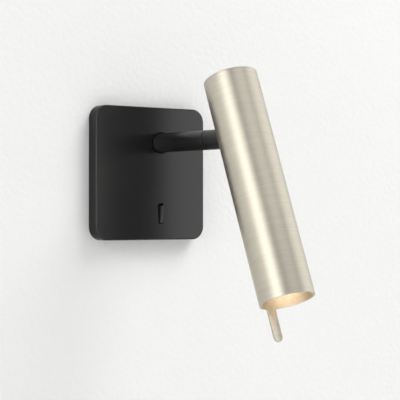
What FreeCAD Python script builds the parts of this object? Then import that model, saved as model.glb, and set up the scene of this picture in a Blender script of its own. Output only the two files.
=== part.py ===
"""Wall spotlight: a square wall plate with a rocker switch, a round arm and a slotted tube head.

The part stands in one frame. The wall is the plane y = 0, the room is towards -y and +z is up. The
origin is the centre of the plate on the wall. Lengths are in millimetres and angles in degrees.
"""
import FreeCAD
import Part
import Sketcher
import math
import os
from FreeCAD import Placement, Rotation, Vector
from types import SimpleNamespace

SIZES = {
    # square cover plate
    "plate_width": 80.0,
    "plate_depth": 7.8,
    "plate_wall": 1.5,
    "plate_corner": 8.0,
    "plate_edge": 0.8,
    "stud_radius": 1.45,
    "stud_length": 4.5,
    # chassis plate inside the cover
    "chassis_gap": 0.8,
    "chassis_wall": 1.5,
    "chassis_corner": 3.0,
    "stud_inset": 3.7,
    "stud_nut_flats": 5.5,
    "stud_nut_height": 2.4,
    # wall bracket
    "bracket_side_gap": 1.5,
    "bracket_end_gap": 2.5,
    "bracket_wall": 1.2,
    "bracket_corner": 4.0,
    "bracket_rail": 4.0,
    "wall_slot_inset": 6.85,
    "wall_slot_length": 8.0,
    "wall_slot_radius": 2.1,
    "tab_width": 20.0,
    "tab_depth": 5.5,
    # screws that lock the cover to the bracket
    "grub_radius": 1.5,
    "grub_length": 5.6,
    "grub_height": 3.2,
    "grub_recess": 0.2,
    "key_flats": 1.5,
    "key_depth": 1.6,
    # arm
    "arm_x": 7.2,
    "arm_y": 18.6,
    "arm_radius": 5.8,
    "arm_bore": 4.1,
    "arm_gap": 0.8,
    "seam_out": 53.9,
    "seam_chamfer": 0.2,
    "spigot_radius": 5.0,
    "spigot_bore": 3.0,
    "spigot_end": 0.9,
    "spigot_step": 2.0,
    "arm_washer_radius": 8.0,
    "arm_washer_wall": 0.8,
    "arm_nut_flats": 14.0,
    "arm_nut_height": 2.6,
    "bush_radius": 4.8,
    "bush_length": 9.0,
    # stop between arm and swivel
    "stop_inset": 12.9,
    "stop_dog_radius": 0.75,
    "stop_dog_length": 1.0,
    "stop_recess": 0.1,
    "stop_key_depth": 0.8,
    "stop_pin_radius": 0.6,
    "stop_pin_inset": 0.1,
    "groove_width": 2.0,
    "groove_depth": 1.0,
    # swivel
    "journal_radius": 4.0,
    "journal_length": 18.0,
    "pan_washer_wall": 0.5,
    "pan_washer_inset": 0.7,
    "reach": 87.6,
    "tongue_width": 6.0,
    "tongue_length": 7.0,
    "lead_bore": 1.8,
    "lead_turn_back": 16.6,
    # running clearances
    "running_gap": 0.05,
    "thread_gap": 0.05,
    "fit_gap": 0.1,
    # head tube
    "tilt": 21.5,
    "tilt_more": 28.5,
    "head_radius": 15.6,
    "head_wall": 1.2,
    "head_top": 37.1,
    "head_bottom": 96.7,
    "head_edge": 0.7,
    "slot_gap": 0.3,
    "lever_width": 5.8,
    "lever_length": 18.7,
    "lever_root": 0.8,
    "cap_wall": 2.5,
    "cap_skirt": 3.0,
    "cap_skirt_wall": 1.2,
    "cap_recess": 0.3,
    # tilt hinge inside the head
    "cheek_wall": 2.5,
    "cheek_width": 10.0,
    "yoke_drop": 13.0,
    "yoke_wall": 3.0,
    "yoke_radius": 14.2,
    "friction_wall": 1.0,
    "tilt_pin_radius": 2.0,
    "tilt_pin_head_radius": 3.5,
    "tilt_pin_head": 2.2,
    "tilt_pin_end": 0.6,
    "tilt_key_flats": 2.5,
    "tilt_key_depth": 1.3,
    "spring_radius": 4.0,
    "spring_wall": 0.8,
    "tilt_nut_flats": 7.0,
    "tilt_nut_height": 4.0,
    "yoke_screw_offset": 10.0,
    "yoke_screw_radius": 1.25,
    "yoke_screw_length": 6.5,
    "yoke_screw_head_radius": 2.2,
    "yoke_screw_head": 1.8,
    # heat sink
    "sink_radius": 14.2,
    "sink_length": 42.0,
    "fin_first": 12.0,
    "fin_gap": 2.0,
    "fin_pitch": 4.6,
    "fin_depth": 3.0,
    "tube_screw_drop": 6.0,
    "tube_screw_length": 5.0,
    # light source
    "pad_wall": 0.3,
    "board_radius": 10.5,
    "board_wall": 1.6,
    "board_screw_offset": 8.0,
    "board_screw_radius": 0.9,
    "board_screw_length": 5.0,
    "board_screw_head_radius": 1.6,
    "board_screw_head": 1.1,
    "package_width": 8.0,
    "package_height": 0.8,
    "phosphor_radius": 3.2,
    "phosphor_height": 0.3,
    # lens, its holder and its ring
    "holder_radius": 13.8,
    "holder_bore": 10.9,
    "holder_length": 12.0,
    "holder_lip": 3.0,
    "lens_flange": 11.3,
    "lens_flange_wall": 1.5,
    "lens_radius": 10.6,
    "lens_back": 4.6,
    "lens_back_wall": 0.7,
    "lens_gap": 0.4,
    "lens_well": 3.1,
    "lens_well_taper": 0.3,
    "ring_bore": 10.2,
    "ring_wall": 1.5,
    # leads
    "lead_radius": 0.9,
    "lead_hole": 1.1,
    "lead_bend": 4.0,
    "arm_lead_bend": 3.0,
    "lead_side": 11.5,
    "lead_break": 0.35,
    "lead_run": 4.7,
    "lead_down_x": 6.2,
    "lead_down_y": 6.8,
    "lead_down_z": 11.0,
    "arm_lead_offset": 6.6,
    "arm_lead_rise": 5.5,
    "arm_lead_entry": 0.4,
    "lead_inside": 1.5,
    # rocker switch
    "rocker_inset": 15.9,
    "window_width": 3.6,
    "window_height": 12.2,
    "window_corner": 0.5,
    "rocker_gap": 0.6,
    "rocker_height": 10.8,
    "rocker_proud": 1.375,
    "rocker_tilt": 6.5,
    "rocker_edge": 0.35,
    "rocker_skirt": 1.9,
    "rocker_hub": 1.7,
    "rocker_hub_back": 0.4,
    "rocker_nose": 0.7,
    "rocker_nose_length": 2.0,
    "axle_depth": 2.8,
    "axle_radius": 0.7,
    "switch_width": 8.0,
    "switch_height": 14.4,
    "switch_back": 2.5,
    "switch_well_depth": 4.0,
    "switch_well_gap": 0.2,
    "switch_flange_width": 19.0,
    "switch_flange_height": 7.0,
    "switch_flange_wall": 1.2,
    "switch_screw_offset": 7.0,
    "switch_screw_radius": 1.0,
    "switch_screw_length": 2.6,
    "switch_screw_head_radius": 1.7,
    "switch_screw_head": 1.2,
    "contact_width": 2.4,
    "contact_length": 8.0,
    "contact_wall": 0.3,
    "tag_width": 2.0,
    "tag_wall": 0.6,
    "tag_length": 5.5,
    "tag_side": 2.0,
    "tag_offset": 4.0,
    "switch_lead_radius": 0.7,
    "switch_lead_bend": 1.6,
    "switch_lead_down": 3.5,
    "switch_lead_inset": 9.0,
    # driver
    "spacer_side": 3.0,
    "spacer_room": 4.5,
    "spacer_y": 2.0,
    "spacer_flats": 5.5,
    "spacer_length": 13.8,
    "spacer_spigot": 2.0,
    "spacer_thread_depth": 6.0,
    "driver_screw_radius": 1.5,
    "driver_screw_length": 6.0,
    "driver_screw_head_radius": 2.7,
    "driver_screw_head": 1.8,
    "case_width": 34.0,
    "case_height": 36.0,
    "case_depth": 18.0,
    "case_wall": 1.5,
    "case_corner": 3.0,
    "lid_wall": 1.5,
    "ear_width": 6.0,
    "ear_height": 10.0,
    "post_inset": 3.0,
    "post_radius": 2.5,
    "ledge_height": 1.4,
    "lid_screw_radius": 1.2,
    "lid_screw_length": 7.0,
    "lid_screw_head_radius": 2.1,
    "lid_screw_head": 1.4,
    "board_gap": 0.5,
    "driver_board_wall": 1.6,
    "core_x": -5.0,
    "core_inset": 14.0,
    "core_width": 14.0,
    "core_depth": 6.0,
    "core_height": 11.0,
    "core_leg": 4.0,
    "core_yoke": 2.0,
    "winding_depth": 10.0,
    "winding_gap": 0.2,
    "capacitor_radius": 4.0,
    "capacitor_height": 11.0,
    "capacitor_side": 8.0,
    "capacitor_inset": 6.0,
    "capacitor_pitch": 8.8,
    "choke_radius": 3.5,
    "choke_height": 9.0,
    "choke_side": 9.5,
    "choke_inset": 7.0,
    "chip_length": 5.0,
    "chip_width": 4.0,
    "chip_height": 1.6,
    "chip_x": 7.5,
    "chip_inset": 9.0,
    "chip_pitch": 9.0,
    # mains terminals
    "block_width": 24.0,
    "block_height": 9.0,
    "block_depth": 12.0,
    "block_inset": 1.5,
    "pole_pitch": 8.0,
    "pole_radius": 1.7,
    "pole_drop": 5.0,
    "clamp_radius": 1.5,
    "clamp_pitch": 6.0,
    "clamp_length": 2.4,
    "clamp_recess": 0.7,
    "clamp_slot": 0.5,
    "clamp_slot_depth": 0.6,
    # protective earth
    "earth_x": 19.0,
    "earth_rise": 6.0,
    "earth_screw_radius": 2.0,
    "earth_screw_head_radius": 3.5,
    "earth_screw_head": 2.2,
    "earth_tag_radius": 4.4,
    "earth_tag_wall": 0.6,
    "earth_barrel_radius": 1.25,
    "earth_barrel_length": 4.5,
    "earth_lead_radius": 0.8,
    "earth_lead_bend": 2.0,
    "earth_lead_out": 3.0,
    # how far a cut runs past what it cuts
    "overrun": 1.0,
}

COUNTS = {"fins": 6, "poles": 3}


class Size:
    """A length, angle or ratio: its value now and the sheet expression that gives it."""

    def __init__(self, value, text):
        self.value = value
        self.text = text

    def __add__(self, other):
        other = as_size(other)
        return Size(self.value + other.value, "(%s + %s)" % (self.text, other.text))

    def __sub__(self, other):
        other = as_size(other)
        return Size(self.value - other.value, "(%s - %s)" % (self.text, other.text))

    def __mul__(self, other):
        other = as_size(other)
        return Size(self.value * other.value, "(%s * %s)" % (self.text, other.text))

    def __truediv__(self, other):
        other = as_size(other)
        return Size(self.value / other.value, "(%s / %s)" % (self.text, other.text))

    def __neg__(self):
        return Size(-self.value, "(-1 * %s)" % self.text)


def as_size(number):
    """A plain count or zero as a Size, and a Size as it is."""
    if isinstance(number, Size):
        return number
    return Size(float(number), repr(number))


def sine(angle):
    return Size(math.sin(math.radians(angle.value)), "sin(%s)" % angle.text)


def cosine(angle):
    return Size(math.cos(math.radians(angle.value)), "cos(%s)" % angle.text)


def tangent(angle):
    return Size(math.tan(math.radians(angle.value)), "tan(%s)" % angle.text)


ZERO = as_size(0)
HEX = Size(math.sqrt(3.0), "sqrt(3)")
QUARTER_TURN = as_size(90)

doc = FreeCAD.newDocument("WallSpotlight")
sheet = doc.addObject("Spreadsheet::Sheet", "Sizes")
for row, (alias, number) in enumerate(SIZES.items(), 1):
    sheet.set("A%d" % row, alias)
    sheet.set("B%d" % row, repr(number))
    sheet.setAlias("B%d" % row, alias)
doc.recompute()
d = SimpleNamespace(**{alias: Size(number, "Sizes." + alias) for alias, number in SIZES.items()})


def follow(alias, value):
    """Write a size that follows others to the sheet under its own name."""
    row = len(vars(d)) + 1
    sheet.set("A%d" % row, alias)
    sheet.set("B%d" % row, "=" + value.text.replace("Sizes.", ""))
    sheet.setAlias("B%d" % row, alias)
    setattr(d, alias, Size(value.value, "Sizes." + alias))


# what sits inside the cover follows the cover
follow("bracket_width", d.plate_width - (d.plate_wall + d.bracket_side_gap) * 2)
follow("bracket_height", d.plate_width - (d.plate_wall + d.bracket_end_gap) * 2)
follow("chassis_width", d.bracket_height - (d.bracket_wall + d.chassis_gap) * 2)
follow("rocker_drop", d.plate_width / 2 - d.rocker_inset)
# the bracket's opening goes round the driver's spacers, and its slots keep to its outer edge
follow("spacer_x", d.case_width / 2 + d.spacer_side)
follow("opening_width", (d.spacer_x + d.spacer_room) * 2)
follow("opening_height", d.bracket_height - d.bracket_rail * 2)
follow("screw_pitch", d.bracket_width - d.wall_slot_inset * 2)
# the earth screw keeps above the terminals
follow("earth_drop", d.case_height / 2 - d.earth_rise)
# what sits in the driver's case keeps to its walls
follow("capacitor_x", d.case_width / 2 - d.capacitor_side)
follow("choke_x", d.choke_side - d.case_width / 2)
follow("core_y", d.case_height / 2 - d.core_inset)
follow("chip_y", d.case_height / 2 - d.chip_inset)
follow("capacitor_lower_y", d.capacitor_inset - d.case_height / 2)
follow("capacitor_upper_y", d.capacitor_lower_y + d.capacitor_pitch)
follow("choke_y", d.choke_inset - d.case_height / 2)
follow("switch_lead_entry", d.rocker_drop - d.case_height / 2 + d.switch_lead_inset)
doc.recompute()

# places worked out from the sizes above
plate_half = d.plate_width / 2
inner_front = d.plate_depth - d.plate_wall
inner_half = plate_half - d.plate_wall
chassis_back = inner_front - d.chassis_wall
chassis_half = d.chassis_width / 2
stud_offset = chassis_half - d.stud_inset
stub_start = d.seam_out + d.running_gap + d.pan_washer_wall
journal_end = stub_start - d.journal_length
stop_out = d.seam_out - d.stop_inset
shoulder_out = d.reach - d.tongue_length
head_bore = d.head_radius - d.head_wall
cheek_in = d.tongue_width / 2 + d.running_gap + d.friction_wall
cheek_out = cheek_in + d.cheek_wall
sink_top = -(d.yoke_drop + d.yoke_wall)
sink_bottom = sink_top - d.sink_length
board_top = sink_bottom - d.pad_wall
board_face = board_top - d.board_wall
lens_seat = sink_bottom - d.holder_length
lens_front = lens_seat - d.lens_flange_wall
holder_end = lens_seat - d.holder_lip
axle_out = d.plate_depth - d.axle_depth
lid_front = chassis_back - d.spacer_length
case_front = lid_front - d.lid_wall
case_back = case_front - d.case_depth
case_floor = case_back + d.case_wall
post_x = d.case_width / 2 - d.post_inset
post_y = d.case_height / 2 - d.post_inset
driver_board_back = case_floor + d.ledge_height
driver_board_face = driver_board_back + d.driver_board_wall
lead_hole_y = d.arm_y - d.arm_lead_offset
switch_lead_y = d.switch_lead_entry - d.rocker_drop
switch_lead_out = -(d.switch_back + d.switch_lead_down)

# each frame is a place and a turn about the x axis
FRAMES = {
    # x right, y up, z out from the wall
    "wall": (ZERO, ZERO, ZERO, QUARTER_TURN),
    # the same, centred on the arm
    "arm": (d.arm_x, ZERO, d.arm_y, QUARTER_TURN),
    # the same, centred on the rocker
    "switch": (d.arm_x, ZERO, -d.rocker_drop, QUARTER_TURN),
    # centred on the rocker's axle and turned with the rocker
    "rocker": (d.arm_x, -axle_out, -d.rocker_drop, QUARTER_TURN + d.rocker_tilt),
    # centred on the tilt axis, y towards the wall side of the tube, z up along the tube
    "head": (d.arm_x, -d.reach, d.arm_y, -d.tilt),
}

TURNS = {
    "+x": Rotation(Vector(0, 1, 0), 90),
    "-x": Rotation(Vector(0, 1, 0), -90),
    "+y": Rotation(Vector(1, 0, 0), -90),
    "-y": Rotation(Vector(1, 0, 0), 90),
    "+z": Rotation(),
    "-z": Rotation(Vector(1, 0, 0), 180),
    "-x+z": Rotation(Vector(0, 1, 0), -45),
}

pieces = {}


def bind(thing, name, value):
    """Bind one property of an object to the sheet."""
    thing.setExpression(name, as_size(value).text)


def put(thing, place, way="+z"):
    """Set an object's place and the way that its own z axis points."""
    thing.Placement = Placement(Vector(), TURNS[way])
    for axis, value in zip("xyz", place):
        bind(thing, "Placement.Base." + axis, value)
    return thing


def keep(node, thing, frame):
    """Name a finished sub-part and seat it in its frame."""
    x, y, z, angle = FRAMES[frame]
    thing.Label = node
    thing.Placement = Placement(Vector(), Rotation(Vector(1, 0, 0), angle.value))
    bind(thing, "Placement.Base.x", x)
    bind(thing, "Placement.Base.y", y)
    bind(thing, "Placement.Base.z", z)
    bind(thing, "Placement.Rotation.Angle", angle)
    pieces[node] = thing


def cylinder(name, radius, length, place=(ZERO, ZERO, ZERO), way="+z"):
    thing = doc.addObject("Part::Cylinder", name)
    bind(thing, "Radius", radius)
    bind(thing, "Height", length)
    return put(thing, place, way)


def box(name, low, high):
    """Box between its lowest and its highest corner."""
    thing = doc.addObject("Part::Box", name)
    bind(thing, "Length", high[0] - low[0])
    bind(thing, "Width", high[1] - low[1])
    bind(thing, "Height", high[2] - low[2])
    return put(thing, low)


def prism(name, flats, length, place=(ZERO, ZERO, ZERO), way="+z"):
    """Hexagonal bar, given by the distance across its flats."""
    thing = doc.addObject("Part::Prism", name)
    thing.Polygon = 6
    bind(thing, "Circumradius", flats / HEX)
    bind(thing, "Height", length)
    return put(thing, place, way)


def group(name, parts):
    """Several solids, or one, as one object."""
    thing = doc.addObject("Part::Compound", name)
    thing.Links = list(parts)
    return thing


def fuse(name, *parts):
    thing = doc.addObject("Part::MultiFuse", name)
    thing.Shapes = list(parts)
    return thing


def cut(name, base, *tools):
    thing = doc.addObject("Part::Cut", name)
    thing.Base = base
    thing.Tool = tools[0] if len(tools) == 1 else fuse(name + "_tools", *tools)
    return thing


def common(name, first, second):
    thing = doc.addObject("Part::MultiCommon", name)
    thing.Shapes = [first, second]
    return thing


def ring(name, bore, radius, length, place, way="+z"):
    """Flat ring whose first face is at the place given."""
    disc = cylinder(name + "_disc", radius, length)
    hole = cylinder(name + "_hole", bore, length + d.overrun * 2, (ZERO, ZERO, -d.overrun))
    return put(cut(name, disc, hole), place, way)


def nut(name, flats, bore, length, place, way="+z"):
    """Hexagon nut whose first face is at the place given."""
    hexagon = prism(name + "_hexagon", flats, length)
    hole = cylinder(name + "_thread", bore, length + d.overrun * 2, (ZERO, ZERO, -d.overrun))
    return put(cut(name, hexagon, hole), place, way)


def screw(name, head, shank, key, place, way):
    """Socket screw with the head's underside at the place given and the shank pointing that way.

    head, shank and key are each a radius or width and a length.
    """
    cap = cylinder(name + "_head", head[0], head[1], (ZERO, ZERO, -head[1]))
    bar = cylinder(name + "_shank", shank[0], shank[1] + head[1] / 2, (ZERO, ZERO, -head[1] / 2))
    socket = prism(name + "_key", key[0], key[1] + d.overrun, (ZERO, ZERO, -head[1] - d.overrun))
    return put(cut(name, fuse(name + "_blank", cap, bar), socket), place, way)


def grub(name, radius, length, key, place, way):
    """Headless socket screw that starts at the place given and points that way."""
    bar = cylinder(name + "_bar", radius, length)
    socket = prism(name + "_key", key[0], key[1] + d.overrun, (ZERO, ZERO, -d.overrun))
    return put(cut(name, bar, socket), place, way)


def new_body(name):
    return doc.addObject("PartDesign::Body", name + "_body")


def add_sketch(body, role, height=ZERO):
    """Sketch on one of the body's own origin planes, moved along that plane's normal."""
    sketch = body.newObject("Sketcher::SketchObject", body.Name + "_sketch")
    for feature in body.Origin.OriginFeatures:
        if feature.Role == role:
            sketch.AttachmentSupport = (feature, [""])
    sketch.MapMode = "FlatFace"
    bind(sketch, "AttachmentOffset.Base.z", height)
    return sketch


def fix_point(sketch, line, end, across, along):
    """Hold one end of a sketch line at a place bound to the sheet."""
    for kind, value in (("DistanceX", across), ("DistanceY", along)):
        number = sketch.addConstraint(Sketcher.Constraint(kind, -1, 1, line, end, value.value))
        sketch.setExpression("Constraints[%d]" % number, value.text)


def polygon(sketch, corners):
    """Closed outline of straight edges through bound corners."""
    first = len(sketch.Geometry)
    count = len(corners)
    spots = [Vector(across.value, along.value, 0) for across, along in corners]
    for k in range(count):
        sketch.addGeometry(Part.LineSegment(spots[k], spots[(k + 1) % count]), False)
    for k, (across, along) in enumerate(corners):
        following = first + (k + 1) % count
        sketch.addConstraint(Sketcher.Constraint("Coincident", first + k, 2, following, 1))
        fix_point(sketch, first + k, 1, across, along)


def rectangle(sketch, left, bottom, right, top):
    polygon(sketch, [(left, bottom), (right, bottom), (right, top), (left, top)])


def rounded_rectangle(sketch, middle, half_width, half_height, radius):
    """Closed outline of four straight edges with tangent arcs between them."""
    first = len(sketch.Geometry)
    reach_x, reach_y = half_width - radius, half_height - radius
    centres = [(middle[0] + reach_x * way_x, middle[1] + reach_y * way_y)
               for way_x, way_y in ((1, 1), (-1, 1), (-1, -1), (1, -1))]
    arcs = []
    for quarter, (across, along) in enumerate(centres):
        corner = Part.Circle(Vector(across.value, along.value, 0), Vector(0, 0, 1), radius.value)
        arcs.append(Part.ArcOfCircle(corner, math.pi / 2 * quarter, math.pi / 2 * (quarter + 1)))
    for k, arc in enumerate(arcs):
        sketch.addGeometry(arc, False)
        sketch.addGeometry(Part.LineSegment(arc.EndPoint, arcs[(k + 1) % len(arcs)].StartPoint), False)
    for k, (across, along) in enumerate(centres):
        arc, line = first + 2 * k, first + 2 * k + 1
        following = first + 2 * ((k + 1) % len(arcs))
        sketch.addConstraint(Sketcher.Constraint("Tangent", arc, 2, line, 1))
        sketch.addConstraint(Sketcher.Constraint("Tangent", line, 2, following, 1))
        fix_point(sketch, arc, 3, across, along)
        size = sketch.addConstraint(Sketcher.Constraint("Radius", arc, radius.value))
        sketch.setExpression("Constraints[%d]" % size, radius.text)


def circle(sketch, across, along, radius):
    shape = Part.Circle(Vector(across.value, along.value, 0), Vector(0, 0, 1), radius.value)
    number = sketch.addGeometry(shape, False)
    fix_point(sketch, number, 3, across, along)
    size = sketch.addConstraint(Sketcher.Constraint("Radius", number, radius.value))
    sketch.setExpression("Constraints[%d]" % size, radius.text)


def pad(body, sketch, length, reverse=False, midplane=False):
    feature = body.newObject("PartDesign::Pad", body.Name + "_pad")
    feature.Profile = sketch
    feature.Reversed = reverse
    feature.Midplane = midplane
    bind(feature, "Length", length)
    return feature


def pocket(body, sketch, depth, reverse=False, midplane=False):
    feature = body.newObject("PartDesign::Pocket", body.Name + "_pocket")
    feature.Profile = sketch
    feature.Reversed = reverse
    feature.Midplane = midplane
    bind(feature, "Length", depth)
    return feature


def round_edges(body, radius, wanted):
    """Fillet the edges of the body so far that the test accepts."""
    doc.recompute()
    base = body.Tip
    names = ["Edge%d" % (k + 1) for k, edge in enumerate(base.Shape.Edges) if wanted(edge)]
    feature = body.newObject("PartDesign::Fillet", body.Name + "_fillet")
    feature.Base = (base, names)
    bind(feature, "Radius", radius)
    return feature


def is_at_height(height):
    """Test for edges that lie flat at one height."""
    return lambda edge: edge.BoundBox.ZLength < 1e-6 and abs(edge.BoundBox.ZMin - height.value) < 1e-4


def turned(name, outline):
    """Body made by turning (radius, height) corners about the z axis."""
    body = new_body(name)
    sketch = add_sketch(body, "XZ_Plane")
    polygon(sketch, outline)
    feature = body.newObject("PartDesign::Revolution", name + "_turn")
    feature.Profile = sketch
    feature.ReferenceAxis = (sketch, ["V_Axis"])
    feature.Angle = 360
    return body


def lead(name, points, radius, bend):
    """Round lead along straight runs joined by tangent arcs, with square ends."""
    spots = [Vector(*[as_size(value).value for value in point]) for point in points]
    edges = []
    start = spots[0]
    for k in range(1, len(spots) - 1):
        before = (spots[k - 1] - spots[k]).normalize()
        after = (spots[k + 1] - spots[k]).normalize()
        half_turn = (math.pi - before.getAngle(after)) / 2
        back = bend.value * math.tan(half_turn)
        bisector = (before + after).normalize()
        inside = bend.value * (1 / math.cos(half_turn) - 1)
        arc_start = spots[k] + before * back
        arc_end = spots[k] + after * back
        edges.append(Part.LineSegment(start, arc_start).toShape())
        edges.append(Part.Arc(arc_start, spots[k] + bisector * inside, arc_end).toShape())
        start = arc_end
    edges.append(Part.LineSegment(start, spots[-1]).toShape())
    path = Part.Wire(edges)
    section = Part.Wire([Part.Circle(spots[0], spots[1] - spots[0], radius.value).toShape()])
    solid = path.makePipeShell([section], True, True)
    expected = math.pi * radius.value ** 2 * path.Length
    report = "%s: bends of %.1f, volume %.4f of its section times its length"
    print(report % (name, bend.value, solid.Volume / expected))
    thing = doc.addObject("Part::Feature", name)
    thing.Shape = solid
    return thing


def make_cover_plate():
    """Pressed square cover: a front with a rim, holes for arm and rocker, and four studs inside."""
    body = new_body("cover_plate")
    sketch = add_sketch(body, "XY_Plane")
    rounded_rectangle(sketch, (ZERO, ZERO), plate_half, plate_half, d.plate_corner)
    pad(body, sketch, d.plate_depth)
    round_edges(body, d.plate_edge, is_at_height(d.plate_depth))
    inside = add_sketch(body, "XY_Plane")
    rounded_rectangle(inside, (ZERO, ZERO), inner_half, inner_half, d.plate_corner - d.plate_wall)
    pocket(body, inside, inner_front, reverse=True)
    holes = add_sketch(body, "XY_Plane", d.plate_depth + d.overrun)
    circle(holes, d.arm_x, d.arm_y, d.arm_radius + d.arm_gap)
    pocket(body, holes, d.plate_wall + d.overrun * 2)
    window = add_sketch(body, "XY_Plane", d.plate_depth)
    middle = (d.arm_x, -d.rocker_drop)
    rounded_rectangle(window, middle, d.window_width / 2, d.window_height / 2, d.window_corner)
    pocket(body, window, d.plate_wall)
    studs = add_sketch(body, "XY_Plane", inner_front)
    for across in (-stud_offset, stud_offset):
        for along in (-stud_offset, stud_offset):
            circle(studs, across, along, d.stud_radius)
    pad(body, studs, d.stud_length, reverse=True)
    screw_holes = add_sketch(body, "XZ_Plane")
    circle(screw_holes, ZERO, d.grub_height, d.grub_radius + d.thread_gap)
    pocket(body, screw_holes, d.plate_width + d.overrun * 2, midplane=True)
    keep("cover_plate", body, "wall")


def make_chassis_plate():
    """Steel plate inside the cover that carries the arm, the switch, the driver and the earth."""
    body = new_body("chassis_plate")
    sketch = add_sketch(body, "XY_Plane", chassis_back)
    rounded_rectangle(sketch, (ZERO, ZERO), chassis_half, chassis_half, d.chassis_corner)
    for across in (-stud_offset, stud_offset):
        for along in (-stud_offset, stud_offset):
            circle(sketch, across, along, d.stud_radius + d.fit_gap)
    for side in (-1, 1):
        circle(sketch, d.spacer_x * side, d.spacer_y, d.spacer_spigot)
        across = d.arm_x + d.switch_screw_offset * side
        circle(sketch, across, -d.rocker_drop, d.switch_screw_radius + d.thread_gap)
    circle(sketch, d.arm_x, d.arm_y, d.spigot_radius + d.fit_gap)
    circle(sketch, -d.earth_x, -d.earth_drop, d.earth_screw_radius + d.thread_gap)
    across = d.switch_width / 2 + d.fit_gap
    along = d.switch_height / 2 + d.fit_gap
    rectangle(sketch, d.arm_x - across, -d.rocker_drop - along, d.arm_x + across, along - d.rocker_drop)
    pad(body, sketch, d.chassis_wall)
    keep("chassis_plate", body, "wall")
    nut_back = chassis_back - d.stud_nut_height
    nuts = []
    for across in (-1, 1):
        for along in (-1, 1):
            place = (stud_offset * across, stud_offset * along, nut_back)
            bore = d.stud_radius + d.thread_gap
            nuts.append(nut("chassis_nut", d.stud_nut_flats, bore, d.stud_nut_height, place))
    keep("chassis_nuts", group("chassis_nut_group", nuts), "wall")


def make_wall_bracket():
    """Flat steel bracket with two wall slots, a large opening and two folded tabs."""
    body = new_body("wall_bracket")
    sketch = add_sketch(body, "XY_Plane")
    across, along = d.bracket_width / 2, d.bracket_height / 2
    rounded_rectangle(sketch, (ZERO, ZERO), across, along, d.bracket_corner)
    rounded_rectangle(sketch, (ZERO, ZERO), d.opening_width / 2, d.opening_height / 2, d.bracket_corner)
    pad(body, sketch, d.bracket_wall)
    tabs = add_sketch(body, "XY_Plane")
    half = d.tab_width / 2
    rectangle(tabs, -half, along - d.bracket_wall, half, along)
    rectangle(tabs, -half, -along, half, d.bracket_wall - along)
    pad(body, tabs, d.tab_depth)
    screw_holes = add_sketch(body, "XZ_Plane")
    circle(screw_holes, ZERO, d.grub_height, d.grub_radius + d.thread_gap)
    pocket(body, screw_holes, d.bracket_height + d.overrun * 2, midplane=True)
    slots = []
    depth = d.bracket_wall + d.overrun * 2
    straight = d.wall_slot_length / 2 - d.wall_slot_radius
    for side in (-1, 1):
        middle = d.screw_pitch / 2 * side
        low = (middle - straight, -d.wall_slot_radius, -d.overrun)
        high = (middle + straight, d.wall_slot_radius, d.bracket_wall + d.overrun)
        slots.append(box("wall_slot_middle", low, high))
        for end in (-1, 1):
            place = (middle + straight * end, ZERO, -d.overrun)
            slots.append(cylinder("wall_slot_end", d.wall_slot_radius, depth, place))
    keep("wall_bracket", cut("wall_bracket", body, *slots), "wall")


def make_cover_grub_screws():
    """One screw in the upper and one in the lower rim, with their tips in the bracket's tabs."""
    outer = plate_half - d.grub_recess
    key = (d.key_flats, d.key_depth)
    screws = []
    for start, way in ((outer, "-y"), (-outer, "+y")):
        place = (ZERO, start, d.grub_height)
        screws.append(grub("cover_grub_screw", d.grub_radius, d.grub_length, key, place, way))
    keep("cover_grub_screws", group("cover_grub_group", screws), "wall")


def make_arm():
    """Arm with its threaded end, washer, nut, bush and the screw that stops the swivel."""
    bush_seat = d.seam_out - d.bush_length
    tube = turned("arm_tube", [
        (d.spigot_bore, d.spigot_end),
        (d.spigot_radius, d.spigot_end),
        (d.spigot_radius, inner_front),
        (d.arm_radius, inner_front),
        (d.arm_radius, d.seam_out - d.seam_chamfer),
        (d.arm_radius - d.seam_chamfer, d.seam_out),
        (d.bush_radius, d.seam_out),
        (d.bush_radius, bush_seat),
        (d.arm_bore, bush_seat),
        (d.arm_bore, inner_front + d.spigot_step),
        (d.spigot_bore, inner_front + d.spigot_step),
    ])
    hole = cylinder("stop_screw_hole", d.grub_radius + d.thread_gap, d.arm_radius,
                    (ZERO, -d.arm_radius - d.overrun, stop_out), "+y")
    keep("arm_tube", cut("arm_tube", tube, hole), "arm")
    washer_back = chassis_back - d.arm_washer_wall
    washer = ring("arm_washer", d.spigot_radius + d.fit_gap, d.arm_washer_radius, d.arm_washer_wall,
                  (ZERO, ZERO, washer_back))
    keep("arm_washer", group("arm_washer_group", [washer]), "arm")
    lock = nut("arm_nut", d.arm_nut_flats, d.spigot_radius + d.thread_gap, d.arm_nut_height,
               (ZERO, ZERO, washer_back - d.arm_nut_height))
    keep("arm_nut", group("arm_nut_group", [lock]), "arm")
    bush = turned("pan_bush", [
        (d.journal_radius + d.running_gap, bush_seat),
        (d.bush_radius, bush_seat),
        (d.bush_radius, d.seam_out),
        (d.journal_radius + d.running_gap, d.seam_out),
    ])
    keep("pan_bush", bush, "arm")
    thread_length = d.arm_radius - d.arm_bore - d.stop_recess
    start = d.arm_radius - d.stop_recess
    thread = cylinder("stop_thread", d.grub_radius, thread_length)
    dog = cylinder("stop_dog", d.stop_dog_radius, thread_length + d.stop_dog_length)
    key = prism("stop_key", d.key_flats, d.stop_key_depth + d.overrun, (ZERO, ZERO, -d.overrun))
    stop = put(cut("pan_stop_screw", fuse("stop_blank", thread, dog), key), (ZERO, -start, stop_out), "+y")
    keep("pan_stop_screw", group("pan_stop_group", [stop]), "arm")


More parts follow.
